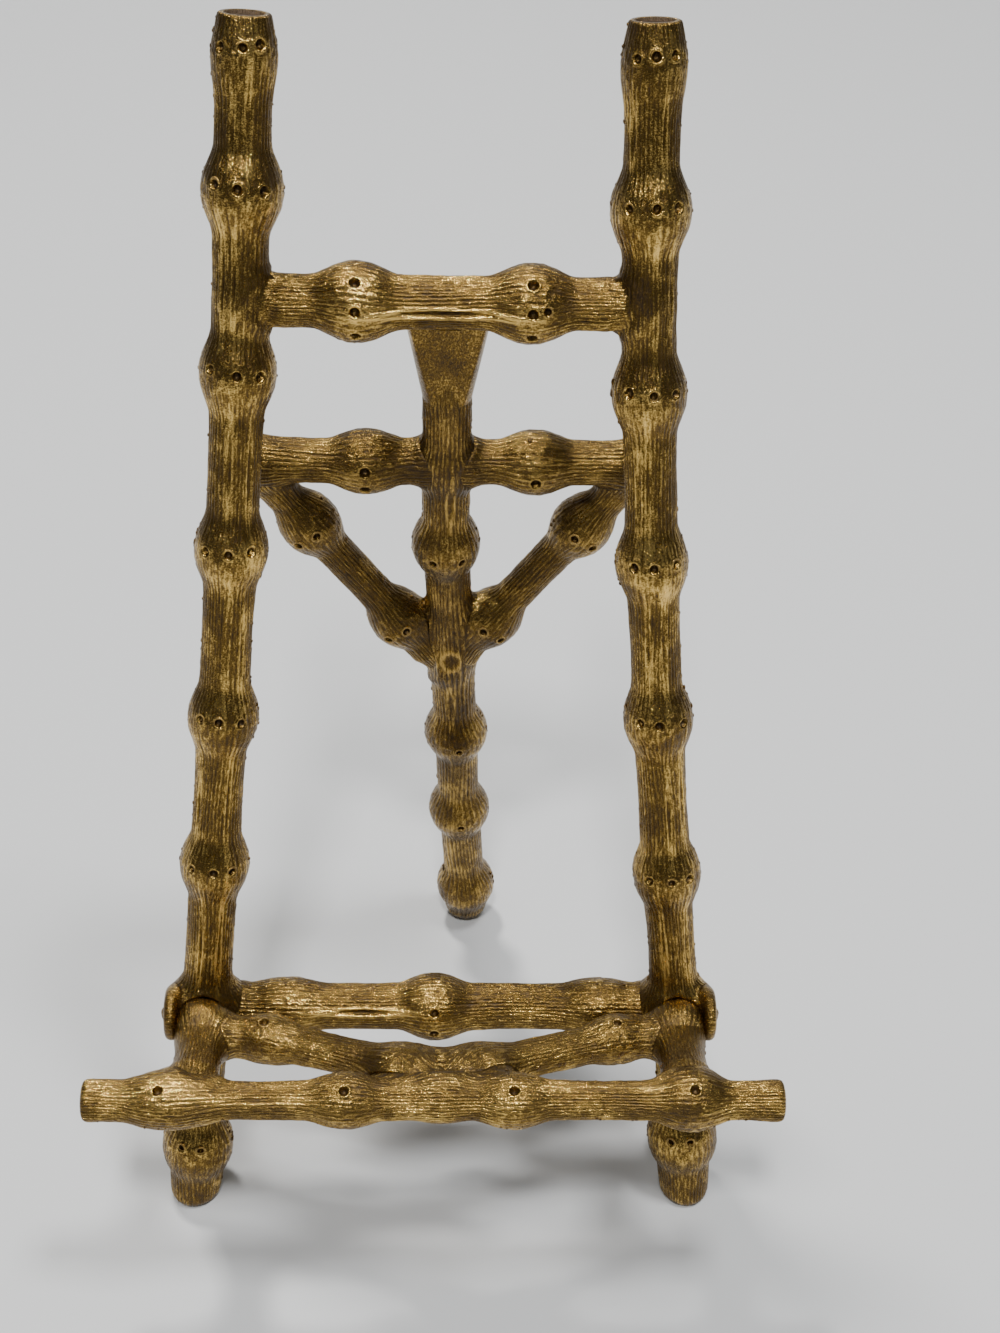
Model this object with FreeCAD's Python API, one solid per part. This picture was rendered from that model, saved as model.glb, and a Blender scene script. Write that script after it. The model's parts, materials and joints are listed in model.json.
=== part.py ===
"""A small folding display easel, cast in metal as lengths of bamboo cane.

Three castings and three pins. The frame casting has two stiles and two rails. The leg
casting swings behind the upper rail on a fork and pin. The ledge casting swings in
front of the stiles on two pins. Each cane of a casting is a solid of its own, and
canes of one casting meet face to face.

Every casting is drawn in the frame's plane first: x across, y behind the plane and
z along the stiles, from the floor up. The whole frame is then leaned back.
Lengths are in millimetres and angles in degrees.
"""
import FreeCAD
import Part

import math
import os

V = FreeCAD.Vector
ACROSS = V(1, 0, 0)
ORIGIN = V(0, 0, 0)

# ---- Driving dimensions: the frame ----
STILE_LENGTH = 210.8
FRAME_LEAN = 15.0
FOOT_HALF_SPACING = 45.9
TOP_HALF_SPACING = 28.6
LEFT_BOW = 1.4
RIGHT_BOW = 2.7
BOW_SKEW = 1.4
STILE_RADIUS = 4.25
STILE_TOP_RADIUS = 3.6
SOLE_RADIUS = 4.5
STUB_RADIUS = 5.0
LEFT_KNOT_HEIGHTS = (12.0, 43.0, 72.0, 100.4, 130.1, 158.9, 186.3, 205.6)
RIGHT_KNOT_HEIGHTS = (13.6, 43.0, 70.3, 100.5, 128.4, 156.4, 184.2, 205.2)
STILE_KNOT_RISES = (2.15, 1.95, 1.65, 1.55, 1.55, 1.55, 1.75, 0.55)

UPPER_RAIL_HEIGHT = 170.0
UPPER_RAIL_RADIUS = 4.1
UPPER_RAIL_KNOTS = (-13.7, 12.4)
UPPER_RAIL_KNOT_RISE = 1.9
BOTTOM_RAIL_HEIGHT = 41.0
BOTTOM_RAIL_SETBACK = 1.3
BOTTOM_RAIL_RADIUS = 4.2
BOTTOM_RAIL_MIDDLE_KNOT = -1.4
BOTTOM_RAIL_MIDDLE_RISE = 1.8
BOTTOM_RAIL_SIDE_KNOTS = (-27.3, 27.6)
BOTTOM_RAIL_SIDE_RISE = 1.0

# ---- Driving dimensions: the leg and its hinge ----
LEG_SPREAD = 21.14
LEG_FOLD = 18.5
LEG_PIN_HEIGHT = 168.5
LEG_PIN_GAP = 2.1
LEG_PIN_RADIUS = 1.5
LUG_RADIUS = 3.0
LUG_HALF_WIDTH = 2.3
TINE_RADIUS = 3.1
TINE_THICKNESS = 4.2
FORK_DEPTH = 3.7
FORK_SIDE_PLAY = 0.3
FORK_END_PLAY = 0.6
HEEL_HEIGHT = 2.6
HEEL_PLAY = 0.2
FLARE_LENGTH = 16.0
POST_RADIUS = 4.0
POST_KNOTS = ((52.3, 0.0), (102.1, 2.3), (126.0, 3.2), (151.5, 4.9))
POST_FOOT_ACROSS = 5.2
POST_KNOT_RISE = 2.0
CROSSBAR_DROP = 33.8
CROSSBAR_RADIUS = 3.9
CROSSBAR_HALF_LENGTH = 32.5
CROSSBAR_KNOTS = (-13.4, 14.7)
CROSSBAR_KNOT_RISE = 1.6
LEG_BRACE_RADIUS = 3.35
LEG_BRACE_KNOT_RISE = 1.85
LEG_BRACE_KNOTS = (0.28, 0.74)
LEG_BRACE_FOOT_DROP = 84.0

# ---- Driving dimensions: the ledge and its hinge ----
LEDGE_PIN_HEIGHT = 43.4
LEDGE_PIN_FORWARD = 6.6
LEDGE_FOLD_GAP = 0.45
LEDGE_DEPTH = 18.6
LEDGE_FOLD = 85.0
LEDGE_PIN_RADIUS = 1.2
LEDGE_PIN_GRIP = 3.4
ARM_RADIUS = 4.0
SOCKET_PLAY = 0.35
EAR_RADIUS = 4.6
EAR_THICKNESS = 2.2
EAR_SETBACK = 2.4
FRONT_BAR_RADIUS = 3.4
FRONT_BAR_END_RADIUS = 3.5
FRONT_BAR_LEFT_END = -59.6
FRONT_BAR_RIGHT_END = 57.2
FRONT_BAR_KNOTS = (-46.7, -16.2, 11.9, 41.8)
FRONT_BAR_KNOT_RISE = 1.5
LEDGE_BRACE_RADIUS = 3.3
LEDGE_BRACE_START_FORWARD = 0.8
LEDGE_BRACE_OUTER_ACROSS = 30.0
LEDGE_BRACE_GAP = 0.3
LEDGE_BRACE_OUTER_RISE = 1.1
LEDGE_BRACE_INNER_ACROSS = 5.5
LEDGE_BRACE_INNER_FORWARD = 17.4
LEDGE_BRACE_INNER_RISE = 0.9
LEDGE_WEB_RADIUS = 2.9

# ---- Shared by every cane ----
KNOT_HALF_LENGTH = 5.5
KNOT_SINK = 0.3
KNOT_CORE = 1.0
RUNNING_PLAY = 0.05
BLIND_PLAY = 0.4
OVERSHOOT = 4.0
WAY_OUT = 60.0
ROOM = 240.0
SAME_RADIUS = 1e-6
SWEEP_STEP = 8.5


# ---- Canes ----
def turned(shape, angle, centre=ORIGIN):
    """A copy of the shape, turned about a line along x through the centre."""
    copy = shape.copy()
    copy.rotate(centre, ACROSS, angle)
    return copy


def rod(start, end, start_radius, end_radius=None):
    """A round rod from one point to another, tapered if it has an end radius."""
    along = end.sub(start)
    if end_radius is None or abs(end_radius - start_radius) < SAME_RADIUS:
        return Part.makeCylinder(start_radius, along.Length, start, along)
    return Part.makeCone(start_radius, end_radius, along.Length, start, along)


def ball(centre, radius):
    return Part.makeSphere(radius, centre)


def knot(centre, along, cane_radius, rise):
    """The swelling where two lengths of cane meet: an arc turned about the cane."""
    rim = cane_radius - KNOT_SINK
    low, high = V(rim, 0, -KNOT_HALF_LENGTH), V(rim, 0, KNOT_HALF_LENGTH)
    foot, head = V(0, 0, -KNOT_HALF_LENGTH), V(0, 0, KNOT_HALF_LENGTH)
    outline = Part.Wire([
        Part.LineSegment(foot, low).toShape(),
        Part.Arc(low, V(cane_radius + rise, 0, 0), high).toShape(),
        Part.LineSegment(high, head).toShape(),
        Part.LineSegment(head, foot).toShape(),
    ])
    solid = Part.Face(outline).revolve(ORIGIN, V(0, 0, 1), 360)
    solid.Placement = FreeCAD.Placement(centre, FreeCAD.Rotation(V(0, 0, 1), along))
    return solid


def joined(shapes):
    """One solid from overlapping shapes."""
    first = shapes[0]
    for other in shapes[1:]:
        first = first.fuse(other)
    return first.removeSplitter()


def cane(points, radius, rises, start_radius=None, end_radius=None):
    """A cane along a line of points. Every inner point is a knot, and rises says how far
    each stands out. The first and last lengths may taper towards their free ends."""
    parts = []
    last = len(points) - 2
    for i in range(len(points) - 1):
        step = points[i + 1].sub(points[i])
        step.normalize()
        start = points[i].add(step * (KNOT_CORE if i > 0 else 0.0))
        end = points[i + 1].sub(step * (KNOT_CORE if i < last else 0.0))
        first_radius = start_radius if i == 0 and start_radius else radius
        last_radius = end_radius if i == last and end_radius else radius
        parts.append(rod(start, end, first_radius, last_radius))
    for i, rise in enumerate(rises):
        along = points[i + 2].sub(points[i])
        parts.append(knot(points[i + 1], along, radius, rise))
    return joined(parts)


def single(shape):
    """The largest solid of a shape that a cut may have left in pieces."""
    return max(shape.Solids, key=lambda solid: solid.Volume)


# ---- The frame's lines ----
def stile_across(height, bow):
    """How far a stile's middle line stands from the easel's middle at a height."""
    share = height / STILE_LENGTH
    straight = FOOT_HALF_SPACING + (TOP_HALF_SPACING - FOOT_HALF_SPACING) * share
    inside = min(max(share, 0.0), 1.0)
    return straight - bow * math.sin(math.pi * inside ** BOW_SKEW)


def stile_point(side, height):
    bow = LEFT_BOW if side < 0 else RIGHT_BOW
    return V(side * stile_across(height, bow), 0, height)


def leg_pin_setback():
    """The leg pin stands a tine and a gap behind the back of the upper rail."""
    return UPPER_RAIL_RADIUS + LEG_PIN_GAP + TINE_RADIUS


def ledge_drop():
    """How far the arms lie under their pins, so that they fold up clear of the stiles."""
    return STILE_RADIUS + LEDGE_FOLD_GAP + ARM_RADIUS - LEDGE_PIN_FORWARD


def brace_forward():
    """Where a ledge brace's outer knot clears the bottom rail's side knot."""
    rail_front = BOTTOM_RAIL_RADIUS + BOTTOM_RAIL_SIDE_RISE - BOTTOM_RAIL_SETBACK
    return rail_front + LEDGE_BRACE_GAP + LEDGE_BRACE_RADIUS + LEDGE_BRACE_OUTER_RISE


def ledge_pin_point(side):
    """Where a ledge pin crosses the middle plane of its stile."""
    across = stile_point(side, LEDGE_PIN_HEIGHT).x
    return V(across, -LEDGE_PIN_FORWARD, LEDGE_PIN_HEIGHT)


def leg_pin_point():
    return V(0, leg_pin_setback(), LEG_PIN_HEIGHT)


def ledge_point(across, forward):
    """A point of the ledge's own plane, at rest square to the frame."""
    return V(across, -forward, LEDGE_PIN_HEIGHT - ledge_drop())


def bar_forward():
    return LEDGE_PIN_FORWARD + LEDGE_DEPTH


# ---- Ledge casting ----
def ledge_arm(side, play=0.0):
    """A short arm with a domed knuckle round its pin. Play swells it, for a socket."""
    pin = ledge_pin_point(side)
    start = ledge_point(pin.x, LEDGE_PIN_FORWARD)
    end = ledge_point(pin.x, bar_forward())
    radius = ARM_RADIUS + play
    return joined([ball(pin, radius), rod(pin, start, radius), ball(start, radius),
                   rod(start, end, radius)])


def ledge_brace(side):
    """A brace from the arm's knuckle to the middle of the front bar."""
    pin = ledge_pin_point(side)
    points = [ledge_point(pin.x, LEDGE_PIN_FORWARD + LEDGE_BRACE_START_FORWARD),
              ledge_point(side * LEDGE_BRACE_OUTER_ACROSS, brace_forward()),
              ledge_point(side * LEDGE_BRACE_INNER_ACROSS, LEDGE_BRACE_INNER_FORWARD),
              ledge_point(0, bar_forward())]
    rises = (LEDGE_BRACE_OUTER_RISE, LEDGE_BRACE_INNER_RISE)
    return cane(points, LEDGE_BRACE_RADIUS, rises)


def ledge_web(side):
    """Half of the web that joins the braces' inner knots. It runs on past the middle,
    where it is cut off."""
    start = ledge_point(side * LEDGE_BRACE_INNER_ACROSS, LEDGE_BRACE_INNER_FORWARD)
    past = ledge_point(-side * OVERSHOOT, LEDGE_BRACE_INNER_FORWARD)
    return rod(start, past, LEDGE_WEB_RADIUS)


def front_bar():
    line = [FRONT_BAR_LEFT_END, *FRONT_BAR_KNOTS, FRONT_BAR_RIGHT_END]
    points = [ledge_point(across, bar_forward()) for across in line]
    rises = [FRONT_BAR_KNOT_RISE] * len(FRONT_BAR_KNOTS)
    return cane(points, FRONT_BAR_RADIUS, rises, FRONT_BAR_END_RADIUS, FRONT_BAR_END_RADIUS)


def ledge_pin(side, play=0.0):
    """A short pin, pressed into the stile's ear and running in the arm's knuckle."""
    centre = ledge_pin_point(side)
    outer = centre.add(ACROSS * side * (ARM_RADIUS + SOCKET_PLAY + EAR_THICKNESS))
    inner = outer.sub(ACROSS * side * (EAR_THICKNESS + SOCKET_PLAY + LEDGE_PIN_GRIP))
    if play > 0:
        outer = outer.add(ACROSS * side * OVERSHOOT)
        inner = inner.sub(ACROSS * side * BLIND_PLAY)
    return rod(inner, outer, LEDGE_PIN_RADIUS + play)


def build_ledge():
    bar = front_bar()
    arms = {side: ledge_arm(side).cut(bar) for side in (-1, 1)}
    braces = {}
    for side in (-1, 1):
        brace = joined([ledge_brace(side), ledge_web(side)]).cut(bar).cut(arms[side])
        half = Part.makeBox(2 * WAY_OUT, 2 * WAY_OUT, 2 * WAY_OUT,
                            V(0 if side > 0 else -2 * WAY_OUT, -WAY_OUT, 0))
        braces[side] = single(brace.common(half))
    bores = {side: ledge_pin(side, RUNNING_PLAY) for side in (-1, 1)}
    return {
        "front_bar": bar,
        "left_arm": single(arms[-1].cut(bores[-1])),
        "right_arm": single(arms[1].cut(bores[1])),
        "left_ledge_brace": braces[-1],
        "right_ledge_brace": braces[1],
    }


# ---- Frame casting ----
def socket(side):
    """The room that a knuckle, its arm and its brace sweep as the ledge folds up."""
    pin = ledge_pin_point(side)
    reach = ledge_point(pin.x, LEDGE_PIN_FORWARD + LEDGE_DEPTH - FRONT_BAR_RADIUS)
    start = ledge_point(pin.x, LEDGE_PIN_FORWARD)
    knee = ledge_point(side * LEDGE_BRACE_OUTER_ACROSS, brace_forward())
    radius = ARM_RADIUS + SOCKET_PLAY
    brace_radius = LEDGE_BRACE_RADIUS + SOCKET_PLAY
    swept = [ball(pin, radius)]
    steps = math.ceil(LEDGE_FOLD / SWEEP_STEP)
    for i in range(steps + 1):
        angle = -LEDGE_FOLD * i / steps
        swept.append(turned(rod(start, reach, radius), angle, pin))
        swept.append(turned(ball(start, radius), angle, pin))
        swept.append(turned(rod(start, knee, brace_radius), angle, pin))
    return swept


def ear(side):
    """The lobe on a stile's outer side that holds the ledge pin."""
    centre = ledge_pin_point(side)
    centre.y += EAR_SETBACK
    inner = centre.add(ACROSS * side * (ARM_RADIUS + SOCKET_PLAY))
    return rod(inner, inner.add(ACROSS * side * EAR_THICKNESS), EAR_RADIUS)


def stile(side):
    heights = LEFT_KNOT_HEIGHTS if side < 0 else RIGHT_KNOT_HEIGHTS
    line = [-OVERSHOOT, *heights, STILE_LENGTH]
    points = [stile_point(side, height) for height in line]
    whole = cane(points, STILE_RADIUS, STILE_KNOT_RISES, SOLE_RADIUS, STILE_TOP_RADIUS)
    whole = joined([whole, rod(points[0], points[1], SOLE_RADIUS, STUB_RADIUS), ear(side)])
    for space in socket(side):
        whole = whole.cut(space)
    return single(whole.cut(ledge_pin(side)))


def rail(height, setback, radius, knots, rises):
    """A rail from one stile's middle line to the other's."""
    ends = [stile_point(side, height).x for side in (-1, 1)]
    points = [V(across, setback, height) for across in (ends[0], *knots, ends[1])]
    return cane(points, radius, rises)


def hinge_lug(upper_rail):
    """The lug behind the upper rail that stands between the fork's tines."""
    pin = leg_pin_point()
    side = ACROSS * LUG_HALF_WIDTH
    disc = rod(pin.sub(side), pin.add(side), LUG_RADIUS)
    web = Part.makeBox(2 * LUG_HALF_WIDTH, leg_pin_setback(), 2 * LUG_RADIUS,
                       V(-LUG_HALF_WIDTH, 0, LEG_PIN_HEIGHT - LUG_RADIUS))
    return single(joined([disc, web]).cut(upper_rail).cut(leg_pin(RUNNING_PLAY)))


def build_frame():
    stiles = {side: stile(side) for side in (-1, 1)}
    upper = rail(UPPER_RAIL_HEIGHT, 0, UPPER_RAIL_RADIUS, UPPER_RAIL_KNOTS,
                 [UPPER_RAIL_KNOT_RISE] * len(UPPER_RAIL_KNOTS))
    left_knot, right_knot = BOTTOM_RAIL_SIDE_KNOTS
    bottom = rail(BOTTOM_RAIL_HEIGHT, BOTTOM_RAIL_SETBACK, BOTTOM_RAIL_RADIUS,
                  (left_knot, BOTTOM_RAIL_MIDDLE_KNOT, right_knot),
                  (BOTTOM_RAIL_SIDE_RISE, BOTTOM_RAIL_MIDDLE_RISE, BOTTOM_RAIL_SIDE_RISE))
    for side in (-1, 1):
        upper = upper.cut(stiles[side])
        bottom = bottom.cut(stiles[side])
        for space in socket(side):
            bottom = bottom.cut(space)
    upper = single(upper)
    return {
        "left_stile": stiles[-1],
        "right_stile": stiles[1],
        "upper_rail": upper,
        "bottom_rail": single(bottom),
        "leg_hinge_lug": hinge_lug(upper),
        "left_ledge_pin": ledge_pin(-1),
        "right_ledge_pin": ledge_pin(1),
    }


# ---- Leg casting, drawn hanging from its pin and swung out behind the frame ----
def fork_half_width():
    return LUG_HALF_WIDTH + FORK_SIDE_PLAY + TINE_THICKNESS


def leg_pin(play=0.0):
    """The pin through the fork and the lug. Play makes it the lug's bore."""
    pin = leg_pin_point()
    side = ACROSS * fork_half_width()
    return rod(pin.sub(side), pin.add(side), LEG_PIN_RADIUS + play)


def leg_point(across, drop):
    """A point of the hanging leg, in the frame's drawing."""
    pin = leg_pin_point()
    return V(across, pin.y, pin.z - drop)


def tine(side):
    """One tine of the fork: a disc round the pin on a straight cheek."""
    inner = side * (LUG_HALF_WIDTH + FORK_SIDE_PLAY)
    outer = inner + side * TINE_THICKNESS
    disc = rod(leg_point(inner, 0), leg_point(outer, 0), TINE_RADIUS)
    cheek = Part.makeBox(TINE_THICKNESS, 2 * TINE_RADIUS, FORK_DEPTH,
                         V(min(inner, outer), leg_pin_setback() - TINE_RADIUS,
                           LEG_PIN_HEIGHT - FORK_DEPTH))
    return joined([disc, cheek])


def heel(side):
    """The tine's heel, which meets the back of the rail and stops the leg."""
    inner = side * (LUG_HALF_WIDTH + FORK_SIDE_PLAY)
    outer = inner + side * TINE_THICKNESS
    block = Part.makeBox(TINE_THICKNESS, leg_pin_setback(), HEEL_HEIGHT,
                         V(min(inner, outer), 0, LEG_PIN_HEIGHT))
    keep_off = rod(V(-WAY_OUT, 0, UPPER_RAIL_HEIGHT), V(WAY_OUT, 0, UPPER_RAIL_HEIGHT),
                   UPPER_RAIL_RADIUS + HEEL_PLAY)
    steps = math.ceil(LEG_FOLD / SWEEP_STEP)
    for i in range(steps + 1):
        block = block.cut(turned(keep_off, LEG_FOLD * i / steps, leg_pin_point()))
    return single_behind(block)


def single_behind(shape):
    """The solid of a cut shape that lies furthest back, beside the pin."""
    return max(shape.Solids, key=lambda solid: solid.CenterOfMass.y)


def post_shoulder():
    """The flare from the fork down to the post, thinned front and back."""
    width = fork_half_width()
    top = leg_point(0, FORK_DEPTH)
    flare = rod(top, leg_point(0, FORK_DEPTH + FLARE_LENGTH), width, POST_RADIUS)
    slab = Part.makeBox(2 * width, 2 * (TINE_RADIUS + KNOT_SINK), FLARE_LENGTH,
                        V(-width, leg_pin_setback() - TINE_RADIUS - KNOT_SINK,
                          top.z - FLARE_LENGTH))
    crotch = rod(leg_point(-width, 0), leg_point(width, 0), LUG_RADIUS + FORK_END_PLAY)
    return flare.common(slab).cut(crotch)


def post_length():
    """From the pin to below the floor, along the leg."""
    pin = turned(Part.Vertex(leg_pin_point()), -FRAME_LEAN).Point
    return pin.z / math.cos(math.radians(LEG_SPREAD - FRAME_LEAN)) + OVERSHOOT


def leg_post():
    start = leg_point(0, FORK_DEPTH + FLARE_LENGTH / 2)
    points = [start, *[leg_point(across, drop) for drop, across in POST_KNOTS],
              leg_point(POST_FOOT_ACROSS, post_length())]
    return cane(points, POST_RADIUS, [POST_KNOT_RISE] * len(POST_KNOTS))


def leg_brace(side):
    start = leg_point(side * CROSSBAR_HALF_LENGTH, CROSSBAR_DROP)
    end = leg_point(0, LEG_BRACE_FOOT_DROP)
    along = end.sub(start)
    knots = [start.add(along * share) for share in LEG_BRACE_KNOTS]
    return cane([start, *knots, end], LEG_BRACE_RADIUS, [LEG_BRACE_KNOT_RISE] * len(knots))


def crossbar(side):
    """One half of the crossbar, from its end behind a stile to the post."""
    at = [across for across in CROSSBAR_KNOTS if across * side > 0][0]
    points = [leg_point(across, CROSSBAR_DROP)
              for across in (side * CROSSBAR_HALF_LENGTH, at, 0)]
    end = ball(points[0], CROSSBAR_RADIUS)
    return joined([cane(points, CROSSBAR_RADIUS, (CROSSBAR_KNOT_RISE,)), end])


def build_leg():
    pin = leg_pin_point()
    fork = turned(joined([post_shoulder(), tine(-1), tine(1)]), LEG_SPREAD, pin)
    fork = single(joined([fork, heel(-1), heel(1)]).cut(leg_pin()))
    post = single(turned(leg_post(), LEG_SPREAD, pin).cut(fork))
    bars = {side: turned(crossbar(side), LEG_SPREAD, pin) for side in (-1, 1)}
    braces = {side: turned(leg_brace(side), LEG_SPREAD, pin) for side in (-1, 1)}
    for side in (-1, 1):
        bars[side] = single(bars[side].cut(post))
        braces[side] = single(braces[side].cut(post).cut(bars[side]))
    return {
        "leg_fork": fork,
        "leg_post": post,
        "leg_left_crossbar": bars[-1],
        "leg_right_crossbar": bars[1],
        "leg_left_brace": braces[-1],
        "leg_right_brace": braces[1],
        "leg_hinge_pin": leg_pin(),
    }


# ---- The whole easel ----
def above_floor(shape):
    """What stands above the floor: soles are cut flat."""
    room = Part.makeBox(2 * ROOM, 2 * ROOM, 2 * ROOM, V(-ROOM, -ROOM, 0))
    return single(shape.common(room))


def base_middle(shapes):
    """The middle of the floor rectangle that holds the whole easel."""
    box = Part.makeCompound(list(shapes)).optimalBoundingBox(False, False)
    return V((box.XMin + box.XMax) / 2, (box.YMin + box.YMax) / 2, 0)


def bodies():
    """Every casting with its pins, leaned back, with the base's middle at the origin."""
    groups = {"frame": build_frame(), "leg": build_leg(), "ledge": build_ledge()}
    stood = {body: {name: above_floor(turned(shape, -FRAME_LEAN))
                    for name, shape in group.items()}
             for body, group in groups.items()}
    middle = base_middle([s for group in stood.values() for s in group.values()])
    for group in stood.values():
        for shape in group.values():
            shape.translate(-middle)
    return stood, middle


def main():
    os.makedirs("parts", exist_ok=True)
    stood, middle = bodies()
    for group in stood.values():
        for name, shape in group.items():
            shape.exportStep("parts/" + name + ".step")
            print(name, len(shape.Solids), shape.isValid(), round(shape.Volume, 1))
    return stood, middle


if __name__ == "__main__":
    main()
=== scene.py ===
"""The looks of a small folding display easel, cast in metal as lengths of bamboo cane.

Three castings (frame, leg and ledge) are built from canes. A cane's skin is a grid of rings, and each
ring point is pushed out until it meets the casting's blended surface, so canes run together in fillets.
Ridges, pits and bud scars are then pressed into the skin. Shapes are drawn in millimetres in the
frame's own plane, and placed in the row frame by the leg pin and the frame's lean.
"""
import json
import logging
import math
from dataclasses import dataclass, field
from enum import Enum
from typing import Optional, Sequence

import bmesh
import bpy
import numpy as np
from mathutils import Matrix, Vector


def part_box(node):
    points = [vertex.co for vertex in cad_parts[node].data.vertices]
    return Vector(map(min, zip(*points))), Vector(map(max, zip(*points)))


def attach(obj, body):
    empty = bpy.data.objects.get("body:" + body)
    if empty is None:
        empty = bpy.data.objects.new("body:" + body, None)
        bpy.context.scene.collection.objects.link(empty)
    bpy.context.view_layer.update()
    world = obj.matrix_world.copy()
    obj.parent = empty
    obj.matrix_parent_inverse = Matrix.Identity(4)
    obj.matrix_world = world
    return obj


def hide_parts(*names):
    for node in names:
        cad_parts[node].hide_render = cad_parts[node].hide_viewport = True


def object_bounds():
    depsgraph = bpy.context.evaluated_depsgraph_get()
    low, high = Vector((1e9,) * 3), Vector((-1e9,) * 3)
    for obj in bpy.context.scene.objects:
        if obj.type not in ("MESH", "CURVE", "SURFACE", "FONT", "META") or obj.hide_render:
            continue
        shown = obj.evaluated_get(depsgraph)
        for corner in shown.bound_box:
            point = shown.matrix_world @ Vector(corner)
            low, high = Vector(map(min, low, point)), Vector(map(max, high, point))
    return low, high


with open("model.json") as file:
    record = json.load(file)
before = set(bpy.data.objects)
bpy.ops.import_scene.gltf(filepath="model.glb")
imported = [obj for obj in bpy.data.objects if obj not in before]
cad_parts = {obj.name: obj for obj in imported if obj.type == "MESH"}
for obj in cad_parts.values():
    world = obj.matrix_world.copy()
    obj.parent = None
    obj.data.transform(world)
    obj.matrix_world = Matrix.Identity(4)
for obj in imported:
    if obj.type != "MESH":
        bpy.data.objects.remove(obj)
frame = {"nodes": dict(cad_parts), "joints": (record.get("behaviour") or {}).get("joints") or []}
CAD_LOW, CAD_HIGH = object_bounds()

Array = np.ndarray
log = logging.getLogger("easel")

MM = 0.001
UP = np.array([0.0, 0.0, 1.0])
FRONT = np.array([0.0, -1.0, 0.0])


# ---------------------------------------------------------------- drawing
def turn_x(degrees: float) -> Array:
    """The 3 by 3 matrix that turns points about the x axis."""
    c, s = math.cos(math.radians(degrees)), math.sin(math.radians(degrees))
    return np.array([[1.0, 0.0, 0.0], [0.0, c, -s], [0.0, s, c]])


def unit(vectors: Array) -> Array:
    """The vectors at length one."""
    return vectors / np.maximum(np.linalg.norm(vectors, axis=-1, keepdims=True), 1e-12)


def held(points: Array) -> Array:
    """The points, kept inside the CAD box."""
    return np.clip(points, CAD_LOW, CAD_HIGH)


def smoothed(share: Array) -> Array:
    """A share from 0 to 1, eased at both ends."""
    return share * share * (3.0 - 2.0 * share)


def ring_quads(index: Array) -> Array:
    """The quads between neighbouring rings of a grid of vertex numbers."""
    a, b = index[:-1], index[1:]
    return np.stack([a, np.roll(a, -1, 1), np.roll(b, -1, 1), b], -1)


@dataclass(frozen=True)
class Draft:
    """The drawing's frame: x across, y behind the frame's plane, z up the stiles, in mm."""

    lean: float
    pin: tuple[float, float, float]
    landmark: tuple[float, float, float]

    def place(self, points: Array) -> Array:
        """Takes drawing points to the row frame.

        Args:
            points: Points in mm, last axis x, y, z.

        Returns:
            The same points in metres, leaned back about the leg pin.
        """
        return (points - np.array(self.pin)) @ turn_x(-self.lean).T * MM + np.array(self.landmark)

    def height(self, points: Array) -> Array:
        """How high drawing points stand above the floor, in mm."""
        return self.place(points)[..., 2] / MM

    def to_floor(self, above: Sequence[float], below: Sequence[float]) -> Array:
        """The point where the line from above to below meets the floor."""
        a, b = np.array(above, float), np.array(below, float)
        high, low = self.height(a), self.height(b)
        return a + (b - a) * high / (high - low)


# ---------------------------------------------------------------- cane skins
class End(Enum):
    """How a cane ends."""

    HIDDEN = "runs into another cane"
    DOME = "rounded"
    CUT = "cut off square with a rubbed chamfer"
    SUNK = "cut off with a shallow hollow in the face"
    SOLE = "cut off flat at the floor"


@dataclass(frozen=True)
class Pit:
    """A small punched pit: its place along the cane in mm and round it in degrees."""

    at: float
    round: float
    size: float = 1.0


@dataclass(frozen=True)
class Scar:
    """A long lens pressed into the cane, with a raised lip."""

    at: float
    round: float
    half_length: float
    half_width: float = 0.8
    depth: float = 0.36
    lip: float = 0.2


@dataclass
class Streaks:
    """Lines that run along a cane: columns round it, each with its own random lengths."""

    rng: np.random.Generator
    columns: int
    cell: float
    length: float
    values: Array = field(init=False)
    shifts: Array = field(init=False)

    def __post_init__(self) -> None:
        """Draws the random values of every column."""
        rows = int(self.length / self.cell) + 6
        self.values = self.rng.uniform(-1.0, 1.0, (self.columns, rows))
        self.shifts = self.rng.uniform(0.0, 1.0, self.columns)

    def column(self, index: Array, along: Array) -> Array:
        """One column's value at a place along the cane."""
        at = np.clip(along / self.cell + 1.0 + self.shifts[index], 0.0, self.values.shape[1] - 1.001)
        low = at.astype(int)
        share = smoothed(at - low)
        return self.values[index, low] * (1.0 - share) + self.values[index, low + 1] * share

    def at(self, turn: Array, along: Array) -> Array:
        """The streaks' value on the skin.

        Args:
            turn: Place round the cane, 0 to 1.
            along: Place along the cane in mm.

        Returns:
            Values from -1 to 1, of the arguments' shape.
        """
        spot = (turn % 1.0) * self.columns
        low = spot.astype(int) % self.columns
        share = smoothed(spot - np.floor(spot))
        following = self.column((low + 1) % self.columns, along)
        return self.column(low, along) * (1.0 - share) + following * share


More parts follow.
